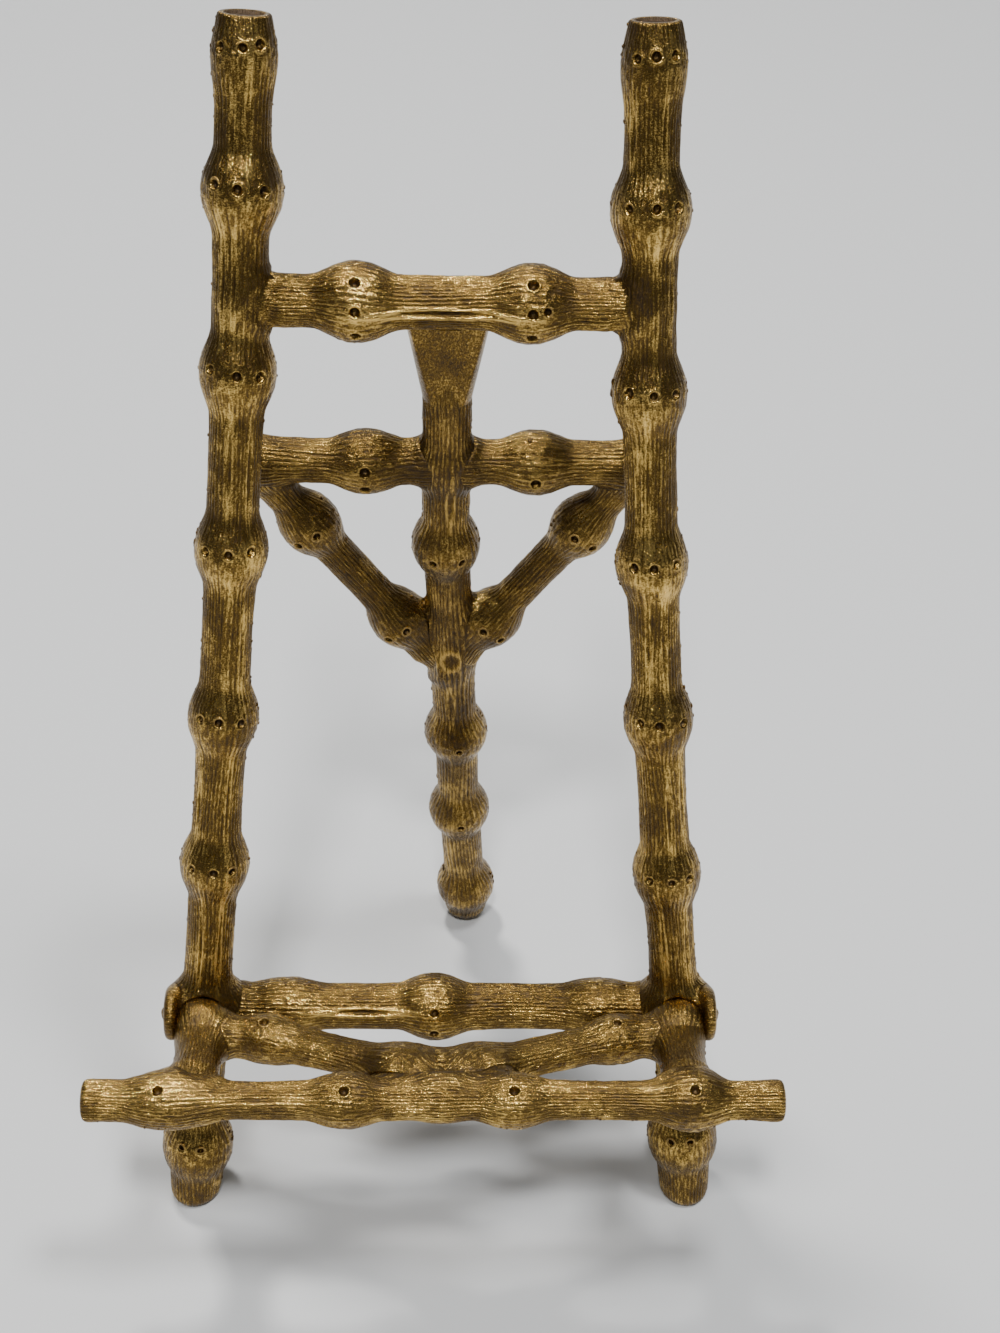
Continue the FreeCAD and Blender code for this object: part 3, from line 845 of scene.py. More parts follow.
@dataclass
class Frame(Casting):
    """The leaning frame: two stiles, two rails and the ears that hold the ledge."""

    ledge: Optional[Ledge] = None
    stile_length: float = 210.8
    foot_half_spacing: float = 45.9
    top_half_spacing: float = 28.6
    bows: tuple[float, float] = (1.4, 2.7)
    bow_skew: float = 1.4
    stile_radius: float = 4.25
    stile_rises: tuple[float, ...] = (2.15, 1.95, 1.65, 1.55, 1.55, 1.55, 1.75, 0.55)
    left_knots: tuple[float, ...] = (12.0, 43.0, 72.0, 100.4, 130.1, 158.9, 186.3, 205.6)
    right_knots: tuple[float, ...] = (13.6, 43.0, 70.3, 100.5, 128.4, 156.4, 184.2, 205.2)
    ear_radius: float = 4.6
    ear_setback: float = 2.4
    socket_play: float = 0.35
    rail_tuck: float = 2.2
    fold: float = 85.0
    fold_steps: int = 23

    def across(self, side: int, height: float) -> float:
        """Where a stile's middle line stands at a height."""
        share = height / self.stile_length
        bow = self.bows[0] if side < 0 else self.bows[1]
        straight = self.foot_half_spacing + (self.top_half_spacing - self.foot_half_spacing) * share
        return side * (straight - bow * math.sin(math.pi * min(max(share, 0.0), 1.0) ** self.bow_skew))

    def design(self) -> None:
        """Lays out the frame's canes."""
        self.canes = [self.stile("left_stile", -1, self.left_knots),
                      self.stile("right_stile", 1, self.right_knots),
                      self.rail("upper_rail", 170.0, 0.0, 4.1, (-13.7, 12.4), (1.9, 1.9)),
                      self.rail("bottom_rail", 41.0, 1.3, 4.2, (-27.3, -1.4, 27.6), (1.0, 1.8, 1.0)),
                      self.ear("left", -1), self.ear("right", 1)]

    def ear(self, name: str, side: int) -> Cane:
        """The lobe on a stile's outer side that holds the ledge's pin."""
        ledge = self.ledge
        clear = ledge.arm_radius + self.socket_play + Lobe.half_width
        across = ledge.arm_across[(side + 1) // 2] + side * clear
        middle = np.array([across, self.ear_setback - ledge.pin_forward, ledge.pin_height])
        line = [middle - [0.05, 0.0, 0.0], middle + [0.05, 0.0, 0.0]]
        return Lobe(f"{name}_ear", np.array(line), self.ear_radius, (), UP, End.DOME, End.DOME,
                    ridge=0.03, waist=0.0, around=120, part_of=f"{name}_stile", seed=61 + side)

    def stile(self, name: str, side: int, heights: Sequence[float]) -> Cane:
        """One stile, from its flat sole to its sunk top."""
        at = [self.across(side, h) for h in heights]
        first = [at[0], 0.0, heights[0]]
        below = [self.across(side, -4.0), 0.0, -4.0]
        line = [self.draft.to_floor(first, below), *[[x, 0.0, h] for x, h in zip(at, heights)],
                [self.across(side, self.stile_length), 0.0, self.stile_length]]
        marks = Cane.stations_of(np.array(line, float))
        pits = row_of_pits(marks[1] + 2.2, (-24.0, 10.0), 0.9)
        scars = []
        rng = np.random.default_rng(90 + side)
        for i in range(3, len(heights) + 1):
            slant = rng.uniform(-0.35, 0.35)
            for bearing in (-38.0, 0.0, 38.0):
                at = marks[i] + 1.2 + slant * bearing / 38.0 + rng.uniform(-0.2, 0.2)
                pits.append(Pit(at, bearing + rng.uniform(-4.0, 4.0), rng.uniform(0.95, 1.1)))
        for i in range(2, len(heights)):
            low, high = marks[i], marks[i + 1]
            for _ in range(2):
                length = (high - low) * rng.uniform(0.16, 0.3)
                scars.append(Scar((low + high) / 2 + rng.uniform(-2.0, 2.0), rng.uniform(-50.0, 50.0),
                                  length, rng.uniform(0.3, 0.45), rng.uniform(0.14, 0.24), 0.06))
        return Cane(name, np.array(line, float), self.stile_radius, self.stile_rises, FRONT,
                    End.SOLE, End.SUNK, 4.5, 3.6, pits=pits, scars=scars, fine_spans=[(35.0, 49.0)],
                    stub_radius=5.0, sole_round=1.6, ridge=0.14, ridges=42, around=192, step=0.75,
                    seed=11 + side)

    def rail(self, name: str, height: float, setback: float, radius: float, knots: Sequence[float],
             rises: tuple[float, ...]) -> Cane:
        """One rail between the stiles, its ends hidden in them."""
        ends = (self.across(-1, height) + self.rail_tuck, self.across(1, height) - self.rail_tuck)
        line = [[x, setback, height] for x in (ends[0], *knots, ends[1])]
        upper = len(knots) == 2
        pits = []
        for x, rise in zip(knots, rises):
            bearings = (-42.0, 0.0, 42.0) if upper else ((-24.0, 18.0) if rise > 1.5 else (10.0,))
            pits += row_of_pits(x - ends[0], bearings, 1.1)
        if upper:
            pits.append(Pit(14.6 - ends[0], -4.0, 0.9))
        middle, bearing, half_length = (-0.8, 10.0, 8.8) if upper else (-14.0, -20.0, 6.0)
        scar = Scar(middle - ends[0], bearing, half_length, 0.6, 0.4, 0.26)
        return Cane(name, np.array(line, float), radius, rises, FRONT, pits=pits, scars=[scar],
                    knot_half=6.8, ridge=0.18, ridges=42, around=216, seed=21 if upper else 23)

    def carve(self, points: Array) -> Array:
        """The room that knuckles, arms and braces sweep as the ledge folds up."""
        gap = np.full(points.shape[:-1], np.inf)
        ledge = self.ledge
        height = points[..., 2]
        swept = (np.abs(points[..., 1] + 10.0) < 22.0) & (height > 30.0) & (height < 72.0)
        if not swept.any():
            return gap
        spots = points[swept]
        best = np.full(len(spots), np.inf)
        for i, side in enumerate((-1, 1)):
            pin = np.array([ledge.arm_across[i], -ledge.pin_forward, ledge.pin_height])
            start = np.array(ledge.point(pin[0], ledge.pin_forward)) - pin
            reach = np.array(ledge.point(pin[0], ledge.bar_forward - ledge.bar_radius)) - pin
            knee = np.array(ledge.point(side * ledge.brace_knee[0], ledge.brace_knee[1])) - pin
            arm, brace = (radius + self.socket_play for radius in (ledge.arm_radius, ledge.brace_radius))
            rods = ((np.zeros(3), start, arm), (start, reach, arm), (start, knee, brace))
            for angle in np.linspace(0.0, -self.fold, self.fold_steps):
                turned = (spots - pin) @ turn_x(-angle).T
                for low, high, radius in rods:
                    best = np.minimum(best, capsule(turned, low, high, radius))
        gap[swept] = best
        return gap


def capsule(points: Array, start: Array, end: Array, radius: float) -> Array:
    """How far points lie outside a rod with round ends."""
    step = end - start
    share = np.clip((points - start) @ step / max(float(step @ step), 1e-9), 0.0, 1.0)
    return np.linalg.norm(points - start - share[..., None] * step, axis=-1) - radius


@dataclass
class Leg(Casting):
    """The swinging leg: post, crossbar halves and braces, drawn hanging from the pin."""

    body: str = "leg"
    slot: str = "antique_gilt_leg"
    spread: float = 21.14
    post_radius: float = 4.0
    post_knots: tuple[tuple[float, float], ...] = ((52.3, 0.0), (102.1, 2.3), (126.0, 3.2), (151.5, 4.9))
    post_head: float = 10.0
    foot_across: float = 5.2
    crossbar_drop: float = 33.8
    crossbar_half: float = 32.5
    crossbar_radius: float = 3.9
    brace_foot: float = 84.0
    brace_radius: float = 3.35

    def hang_point(self, across: float, drop: float) -> Array:
        """A point of the leg's plane, swung out behind the frame."""
        pin = np.array(self.draft.pin)
        return pin + turn_x(self.spread) @ np.array([across, 0.0, -drop])

    @property
    def outward(self) -> Array:
        """The way the leg's front faces."""
        return turn_x(self.spread) @ FRONT

    def design(self) -> None:
        """Lays out the leg's canes."""
        self.canes = [self.post()]
        for name, side, knot in (("left", -1, -13.4), ("right", 1, 14.7)):
            self.canes.append(self.crossbar(name, side, knot))
            self.canes.append(self.brace(name, side))

    def post(self) -> Cane:
        """The middle post, from inside the fork to the bulb foot."""
        last = self.hang_point(self.post_knots[-1][1], self.post_knots[-1][0])
        foot = self.draft.to_floor(last, self.hang_point(self.foot_across, 170.0))
        knots = [self.hang_point(across, drop) for drop, across in self.post_knots]
        line = [self.hang_point(0.0, self.post_head), *knots, foot]
        marks = Cane.stations_of(np.array(line))
        scars = [Scar(78.5 - self.post_head, 0.0, 2.0, 1.6, 0.1, 0.22),
                 Scar(90.9 - self.post_head, 8.0, 4.0, 0.6, 0.24, 0.1),
                 Scar(40.0 - self.post_head, -10.0, 4.0, 0.6, 0.2, 0.1)]
        pits = [*row_of_pits(marks[1], (-28.0, 22.0)), *row_of_pits(marks[2], (-5.0,)),
                Pit(marks[3] - 0.2, -4.0, 1.0)]
        return Cane("leg_post", np.array(line), self.post_radius, (2.0, 2.0, 2.0, 1.9), self.outward,
                    End.HIDDEN, End.SOLE, None, 4.5, pits=pits, scars=scars, waist=0.0,
                    sole_round=3.6, sink_length=9.0, seed=31)

    def crossbar(self, name: str, side: int, knot: float) -> Cane:
        """Half of the crossbar, with a rounded outer end."""
        line = [self.hang_point(x, self.crossbar_drop) for x in (side * self.crossbar_half, knot, 0.0)]
        at = abs(side * self.crossbar_half - knot)
        bearings = (0.0,) if side > 0 else (-20.0, 20.0)
        return Cane(f"leg_{name}_crossbar", np.array(line), self.crossbar_radius, (1.6,), self.outward,
                    End.DOME, End.HIDDEN, pits=row_of_pits(at, bearings, 1.2), step=0.4, seed=33 + side)

    def brace(self, name: str, side: int) -> Cane:
        """A brace from the crossbar's end down to the post."""
        start = self.hang_point(side * self.crossbar_half, self.crossbar_drop)
        end = self.hang_point(0.0, self.brace_foot)
        knots = [start + (end - start) * share for share in (0.28, 0.74)]
        line = [start, *knots, end - (end - start) * 0.03]
        marks = Cane.stations_of(np.array(line))
        pits = [p for i in (1, 2) for p in row_of_pits(marks[i], (-22.0, 20.0), 1.0)]
        return Cane(f"leg_{name}_brace", np.array(line), self.brace_radius, (1.85, 1.85), self.outward,
                    pits=pits, around=136, step=0.4, seed=37 + side)


# ---------------------------------------------------------------- hinge parts
@dataclass(frozen=True)
class CastBlock:
    """A hinge part with edges softened as a casting's are, made from its CAD node."""

    node: str
    body: str
    slot: str
    voxel: float = 0.00028
    passes: int = 6
    weld: float = 1e-6

    def build(self, finish: "GiltFinish") -> bpy.types.Object:
        """Builds the softened part.

        Args:
            finish: Its gilt.

        Returns:
            The piece.
        """
        data = frame["nodes"][self.node].data.copy()
        bm = bmesh.new()
        bm.from_mesh(data)
        bmesh.ops.remove_doubles(bm, verts=bm.verts, dist=self.weld)
        bm.to_mesh(data)
        bm.free()
        rough = add_object(self.node + "_rough", data)
        remesh = rough.modifiers.new("voxels", "REMESH")
        remesh.mode, remesh.voxel_size = "VOXEL", self.voxel
        smooth = rough.modifiers.new("soften", "SMOOTH")
        smooth.factor, smooth.iterations = 0.5, self.passes
        mesh = plain_mesh(rough)
        mesh.polygons.foreach_set("use_smooth", np.ones(len(mesh.polygons), bool))
        piece = add_object(self.node + "_casting", mesh)
        hang(piece, self.body, self.slot, finish.material(), self.node)
        return piece


@dataclass(frozen=True)
class Pin:
    """A hinge pin, turned round and peened over at both ends, in the place of its CAD node."""

    node: str
    body: str
    around: int = 40
    bevel: float = 0.00025
    bevel_points: int = 5

    def build(self, finish: "GiltFinish") -> bpy.types.Object:
        """Builds the pin along x, filling its CAD node's box."""
        low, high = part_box(self.node)
        middle = (low + high) / 2
        radius = (high.z - low.z) / 2
        profile = [(low.x, radius - 2 * self.bevel)]
        for a in np.linspace(0.0, math.pi / 2, self.bevel_points):
            profile.append((low.x + self.bevel * (1 - math.cos(a)),
                            radius - self.bevel * (1 - math.sin(a))))
        mirror = [(low.x + high.x - x, r) for x, r in profile[::-1]]
        rows = np.array([*profile, *mirror])
        turn = np.arange(self.around) / self.around * 2 * math.pi
        ring = np.stack([np.zeros(self.around), np.cos(turn), np.sin(turn)], -1)
        points = [np.array([x, middle.y, middle.z]) + ring * r for x, r in rows]
        count = len(rows)
        points = np.concatenate([*points, [[low.x, middle.y, middle.z]], [[high.x, middle.y, middle.z]]])
        index = np.arange(count * self.around).reshape(count, self.around)
        quads = ring_quads(index).reshape(-1, 4)
        start, stop = count * self.around, count * self.around + 1
        left = np.stack([np.full(self.around, start), np.roll(index[0], -1), index[0]], -1)
        right = np.stack([np.full(self.around, stop), index[-1], np.roll(index[-1], -1)], -1)
        piece = mesh_piece(self.node + "_turned", points, [quads, left, right])
        hang(piece, self.body, "gilt_pin", finish.material(), self.node)
        return piece


# ---------------------------------------------------------------- shader groups
class Nodes:
    """A node tree with short calls to add and link nodes."""

    def __init__(self, tree: bpy.types.NodeTree) -> None:
        """Keeps the tree."""
        self.tree = tree

    def add(self, kind: str, **settings: object) -> bpy.types.Node:
        """Adds a node and sets its properties."""
        node = self.tree.nodes.new(kind)
        for key, value in settings.items():
            setattr(node, key, value)
        return node

    def link(self, source: bpy.types.NodeSocket, target: bpy.types.NodeSocket) -> None:
        """Links an output to an input."""
        self.tree.links.new(source, target)

    def feed(self, value: object, target: bpy.types.NodeSocket) -> None:
        """Links a socket, or sets a plain value."""
        if isinstance(value, bpy.types.NodeSocket):
            self.link(value, target)
        else:
            target.default_value = value

    def math(self, operation: str, *values: object, clamp: bool = False) -> bpy.types.NodeSocket:
        """A Math node on sockets or numbers."""
        node = self.add("ShaderNodeMath", operation=operation, use_clamp=clamp)
        for value, target in zip(values, node.inputs):
            self.feed(value, target)
        return node.outputs[0]

    def mix(self, share: object, first: object, second: object) -> bpy.types.NodeSocket:
        """A colour mix."""
        node = self.add("ShaderNodeMix", data_type="RGBA")
        for value, i in ((share, 0), (first, 6), (second, 7)):
            self.feed(value, node.inputs[i])
        return node.outputs[2]

    def span(self, value: object, low: float, high: float, to_low: float = 0.0, to_high: float = 1.0
             ) -> bpy.types.NodeSocket:
        """A clamped Map Range."""
        node = self.add("ShaderNodeMapRange", clamp=True)
        for item, target in zip((value, low, high, to_low, to_high), node.inputs):
            self.feed(item, target)
        return node.outputs[0]

    def noise(self, vector: bpy.types.NodeSocket, scale: object, detail: float = 3.0,
              roughness: float = 0.55) -> bpy.types.NodeSocket:
        """A noise texture's value."""
        node = self.add("ShaderNodeTexNoise")
        self.link(vector, node.inputs["Vector"])
        self.feed(scale, node.inputs["Scale"])
        node.inputs["Detail"].default_value = detail
        node.inputs["Roughness"].default_value = roughness
        return node.outputs["Fac"]


FLOAT, COLOR, VECTOR = "NodeSocketFloat", "NodeSocketColor", "NodeSocketVector"


def shader_group(name: str, takes: dict[str, str], gives: dict[str, str]
                 ) -> tuple[bpy.types.NodeTree, Nodes, bpy.types.Node, bpy.types.Node]:
    """Starts a shader node group with named sockets."""
    tree = bpy.data.node_groups.new(name, "ShaderNodeTree")
    for label, kind in takes.items():
        tree.interface.new_socket(name=label, in_out="INPUT", socket_type=kind)
    for label, kind in gives.items():
        tree.interface.new_socket(name=label, in_out="OUTPUT", socket_type=kind)
    nodes = Nodes(tree)
    return tree, nodes, nodes.add("NodeGroupInput"), nodes.add("NodeGroupOutput")


class ShaderKit:
    """The shader groups that every gilt shares, each built once."""

    def __init__(self) -> None:
        """Builds the groups."""
        self.grain = self.build_grain()
        self.patina = self.build_patina()

    @staticmethod
    def build_grain() -> bpy.types.NodeTree:
        """Cast grain: fine lines along the cane, sand texture and large blotches."""
        tree, n, given, out = shader_group(
            "cast_grain", {"Vector": VECTOR, "Line Stretch": FLOAT, "Size": FLOAT},
            {"Lines": FLOAT, "Sand": FLOAT, "Blotch": FLOAT, "Height": FLOAT})
        place = n.add("ShaderNodeVectorMath", operation="SCALE")
        n.link(given.outputs["Vector"], place.inputs[0])
        n.link(given.outputs["Size"], place.inputs["Scale"])
        vector = place.outputs[0]
        comb = n.add("ShaderNodeCombineXYZ")
        comb.inputs[0].default_value = comb.inputs[1].default_value = 1.0
        n.link(given.outputs["Line Stretch"], comb.inputs[2])
        drawn = n.add("ShaderNodeVectorMath", operation="MULTIPLY")
        n.link(vector, drawn.inputs[0])
        n.link(comb.outputs[0], drawn.inputs[1])
        lines = n.noise(drawn.outputs[0], 3.4, 4.0, 0.6)
        sand = n.noise(vector, 4.2, 3.0, 0.6)
        blotch = n.noise(vector, 0.16, 3.0, 0.55)
        height = n.math("ADD", n.math("MULTIPLY", lines, 0.75), n.math("MULTIPLY", sand, 0.35))
        for name, value in (("Lines", lines), ("Sand", sand), ("Blotch", blotch), ("Height", height)):
            n.link(value, out.inputs[name])
        return tree

    @staticmethod
    def build_patina() -> bpy.types.NodeTree:
        """Rubbed high places, mellow flats and dark stain in hollows and seams."""
        tree, n, given, out = shader_group(
            "rubbed_patina",
            {"Relief": FLOAT, "Knot": FLOAT, "Seam": FLOAT, "Lines": FLOAT, "Sand": FLOAT,
             "Blotch": FLOAT, "Bright": COLOR, "Mellow": COLOR, "Dark": COLOR, "Wear": FLOAT,
             "Stain": FLOAT, "Smooth": FLOAT, "Rough": FLOAT},
            {"Color": COLOR, "Roughness": FLOAT, "Metal": FLOAT})
        g = given.outputs
        mixed = n.math("MULTIPLY", g["Relief"], 0.62)
        for name, weight in (("Lines", 1.5), ("Sand", 1.3), ("Blotch", 1.1)):
            mixed = n.math("ADD", mixed, n.math("MULTIPLY_ADD", g[name], weight, -weight / 2))
        mixed = n.math("ADD", mixed, n.math("MULTIPLY", g["Knot"], 0.10))
        worn = n.math("MULTIPLY", n.span(mixed, 0.10, 0.60), g["Wear"], clamp=True)
        low = n.math("SUBTRACT", n.math("MULTIPLY", g["Seam"], 0.15), mixed)
        stained = n.math("MULTIPLY", n.span(low, -0.02, 0.50), g["Stain"], clamp=True)
        color = n.mix(worn, g["Mellow"], g["Bright"])
        color = n.mix(stained, color, g["Dark"])
        rough = n.math("ADD", g["Smooth"], n.math("MULTIPLY", n.math("SUBTRACT", 1.0, worn),
                                                 n.math("SUBTRACT", g["Rough"], g["Smooth"])))
        rough = n.math("ADD", rough, n.math("MULTIPLY", stained, 0.16), clamp=True)
        metal = n.math("SUBTRACT", 1.0, n.math("MULTIPLY", stained, 0.45))
        for name, value in (("Color", color), ("Roughness", rough), ("Metal", metal)):
            n.link(value, out.inputs[name])
        return tree


class Follow(Enum):
    """What a finish's grain follows."""

    CANE = "the cane's own length"
    BLOCK = "the piece's place"


@dataclass(frozen=True)
class GiltFinish:
    """Antique gilt: gold rubbed bright on high places, brown in hollows."""

    name: str
    kit: ShaderKit
    bright: tuple[float, float, float]
    mellow: tuple[float, float, float]
    dark: tuple[float, float, float]
    wear: float = 1.0
    stain: float = 0.9
    smooth: float = 0.09
    rough: float = 0.25
    bump: float = 1.0
    bump_distance: float = 0.25 * MM
    follow: Follow = Follow.CANE

    def material(self) -> bpy.types.Material:
        """The finish's material, made once."""
        made = bpy.data.materials.get(self.name)
        if made:
            return made
        made = bpy.data.materials.new(self.name)
        made.use_nodes = True
        made.node_tree.nodes.clear()
        n = Nodes(made.node_tree)
        grain = n.add("ShaderNodeGroup", node_tree=self.kit.grain)
        patina = n.add("ShaderNodeGroup", node_tree=self.kit.patina)
        if self.follow is Follow.CANE:
            place = n.add("ShaderNodeAttribute", attribute_name="cane")
            n.link(place.outputs["Vector"], grain.inputs["Vector"])
            for name in ("Relief", "Knot", "Seam"):
                source = n.add("ShaderNodeAttribute", attribute_name=name.lower())
                n.link(source.outputs["Fac"], patina.inputs[name])
            grain.inputs["Line Stretch"].default_value = 0.22
            grain.inputs["Size"].default_value = 1.0
        else:
            coords = n.add("ShaderNodeTexCoord")
            n.link(coords.outputs["Object"], grain.inputs["Vector"])
            grain.inputs["Line Stretch"].default_value = 0.6
            grain.inputs["Size"].default_value = 1.0 / MM
        for name in ("Lines", "Sand", "Blotch"):
            n.link(grain.outputs[name], patina.inputs[name])
        for name, value in (("Bright", self.bright), ("Mellow", self.mellow), ("Dark", self.dark)):
            patina.inputs[name].default_value = (*value, 1.0)
        for name, value in (("Wear", self.wear), ("Stain", self.stain), ("Smooth", self.smooth),
                            ("Rough", self.rough)):
            patina.inputs[name].default_value = value
        shader = n.add("ShaderNodeBsdfPrincipled")
        bump = n.add("ShaderNodeBump")
        bump.inputs["Strength"].default_value = self.bump
        bump.inputs["Distance"].default_value = self.bump_distance
        n.link(grain.outputs["Height"], bump.inputs["Height"])
        n.link(bump.outputs["Normal"], shader.inputs["Normal"])
        n.link(patina.outputs["Color"], shader.inputs["Base Color"])
        n.link(patina.outputs["Roughness"], shader.inputs["Roughness"])
        n.link(patina.outputs["Metal"], shader.inputs["Metallic"])
        n.link(shader.outputs[0], n.add("ShaderNodeOutputMaterial").inputs[0])
        return made


# ---------------------------------------------------------------- repeated small things
class Stud(Enum):
    """What a geometry tree sets on every point."""

    RIM = "a raised ring round a pit"
    SPECK = "a crumb of casting flash"


@dataclass(frozen=True)
class StudTree:
    """A geometry tree that sets a small form on every point of a mesh, facing outwards."""

    stud: Stud
    radius: float
    thickness: float
    spread: float
    seed: int

    def tree(self) -> bpy.types.NodeTree:
        """Builds the node tree with its named inputs."""
        tree = bpy.data.node_groups.new("set_" + self.stud.name.lower(), "GeometryNodeTree")
        face = tree.interface
        face.new_socket(name="Points", in_out="INPUT", socket_type="NodeSocketGeometry")
        for name in ("Radius", "Thickness", "Spread"):
            face.new_socket(name=name, in_out="INPUT", socket_type=FLOAT)
        face.new_socket(name="Seed", in_out="INPUT", socket_type="NodeSocketInt")
        face.new_socket(name="Material", in_out="INPUT", socket_type="NodeSocketMaterial")
        face.new_socket(name="Geometry", in_out="OUTPUT", socket_type="NodeSocketGeometry")
        n = Nodes(tree)
        given, out = n.add("NodeGroupInput"), n.add("NodeGroupOutput")
        form = self.ring(n, given) if self.stud is Stud.RIM else self.crumb(n, given)
        outward = n.add("GeometryNodeInputNamedAttribute", data_type="FLOAT_VECTOR")
        outward.inputs["Name"].default_value = "outward"
        turn = n.add("FunctionNodeAlignRotationToVector", axis="Z")
        n.link(outward.outputs["Attribute"], turn.inputs["Vector"])
        size = n.add("GeometryNodeInputNamedAttribute", data_type="FLOAT")
        size.inputs["Name"].default_value = "size"
        chance = n.add("FunctionNodeRandomValue", data_type="FLOAT_VECTOR")
        n.link(n.math("SUBTRACT", 1.0, given.outputs["Spread"]), chance.inputs[0])
        n.link(n.math("ADD", 1.0, given.outputs["Spread"]), chance.inputs[1])
        n.link(given.outputs["Seed"], chance.inputs["Seed"])
        scale = n.add("ShaderNodeVectorMath", operation="SCALE")
        n.link(chance.outputs[0], scale.inputs[0])
        n.link(size.outputs["Attribute"], scale.inputs["Scale"])
        put = n.add("GeometryNodeInstanceOnPoints")
        n.link(given.outputs["Points"], put.inputs["Points"])
        n.link(form, put.inputs["Instance"])
        n.link(turn.outputs["Rotation"], put.inputs["Rotation"])
        n.link(scale.outputs[0], put.inputs["Scale"])
        real = n.add("GeometryNodeRealizeInstances")
        n.link(put.outputs[0], real.inputs[0])
        dress = n.add("GeometryNodeSetMaterial")
        n.link(real.outputs[0], dress.inputs["Geometry"])
        n.link(given.outputs["Material"], dress.inputs["Material"])
        n.link(dress.outputs[0], out.inputs[0])
        return tree

    @staticmethod
    def ring(n: Nodes, given: bpy.types.Node) -> bpy.types.NodeSocket:
        """A ring of round wire."""
        circle = n.add("GeometryNodeCurvePrimitiveCircle")
        circle.inputs["Resolution"].default_value = 22
        n.link(given.outputs["Radius"], circle.inputs["Radius"])
        wire = n.add("GeometryNodeCurvePrimitiveCircle")
        wire.inputs["Resolution"].default_value = 8
        n.link(given.outputs["Thickness"], wire.inputs["Radius"])
        sweep = n.add("GeometryNodeCurveToMesh")
        n.link(circle.outputs[0], sweep.inputs["Curve"])
        n.link(wire.outputs[0], sweep.inputs["Profile Curve"])
        smooth = n.add("GeometryNodeSetShadeSmooth")
        n.link(sweep.outputs[0], smooth.inputs["Geometry"])
        return smooth.outputs[0]

    @staticmethod
    def crumb(n: Nodes, given: bpy.types.Node) -> bpy.types.NodeSocket:
        """A small rounded lump, pressed flat on the skin."""
        lump = n.add("GeometryNodeMeshIcoSphere")
        lump.inputs["Subdivisions"].default_value = 2
        n.link(given.outputs["Radius"], lump.inputs["Radius"])
        flat = n.add("ShaderNodeCombineXYZ")
        flat.inputs[0].default_value = 1.0
        flat.inputs[1].default_value = 1.6
        n.link(given.outputs["Thickness"], flat.inputs[2])
        press = n.add("GeometryNodeTransform")
        n.link(lump.outputs["Mesh"], press.inputs["Geometry"])
        n.link(flat.outputs[0], press.inputs["Scale"])
        smooth = n.add("GeometryNodeSetShadeSmooth")
        n.link(press.outputs[0], smooth.inputs["Geometry"])
        return smooth.outputs[0]

    def build(self, name: str, casting: Casting, spots: Sequence[tuple[Array, Array, float]],
              finish: GiltFinish) -> bpy.types.Object:
        """Sets the forms on a casting's points as one plain mesh.

        Args:
            name: The piece's name.
            casting: The casting that they sit on.
            spots: Each form's place in drawing mm, the way out of the skin, and its size.
            finish: Their gilt.

        Returns:
            The piece.
        """
        draft = casting.draft
        places = np.array([draft.place(spot) for spot, _, _ in spots])
        tips = np.array([draft.place(spot + out) for spot, out, _ in spots])
        mesh = bpy.data.meshes.new(name + "_points")
        mesh.from_pydata(places.tolist(), [], [])
        host = add_object(name + "_points", mesh)
        put_attribute(host, "outward", unit(tips - places))
        put_attribute(host, "size", np.array([size for _, _, size in spots]))
        tree = self.tree()
        modifier = host.modifiers.new("set", "NODES")
        modifier.node_group = tree
        values = {"Radius": self.radius, "Thickness": self.thickness, "Spread": self.spread,
                  "Seed": self.seed, "Material": finish.material()}
        for item in tree.interface.items_tree:
            if item.in_out == "INPUT" and item.name in values:
                modifier[item.identifier] = values[item.name]
        plain = plain_mesh(host)
        corners = np.empty(3 * len(plain.vertices), np.float32)
        plain.vertices.foreach_get("co", corners)
        kept = held(corners.reshape(-1, 3)).astype(np.float32)
        plain.vertices.foreach_set("co", kept.ravel())
        plain.update()
        piece = add_object(name, plain)
        hang(piece, casting.body, casting.slot, finish.material())
        return piece


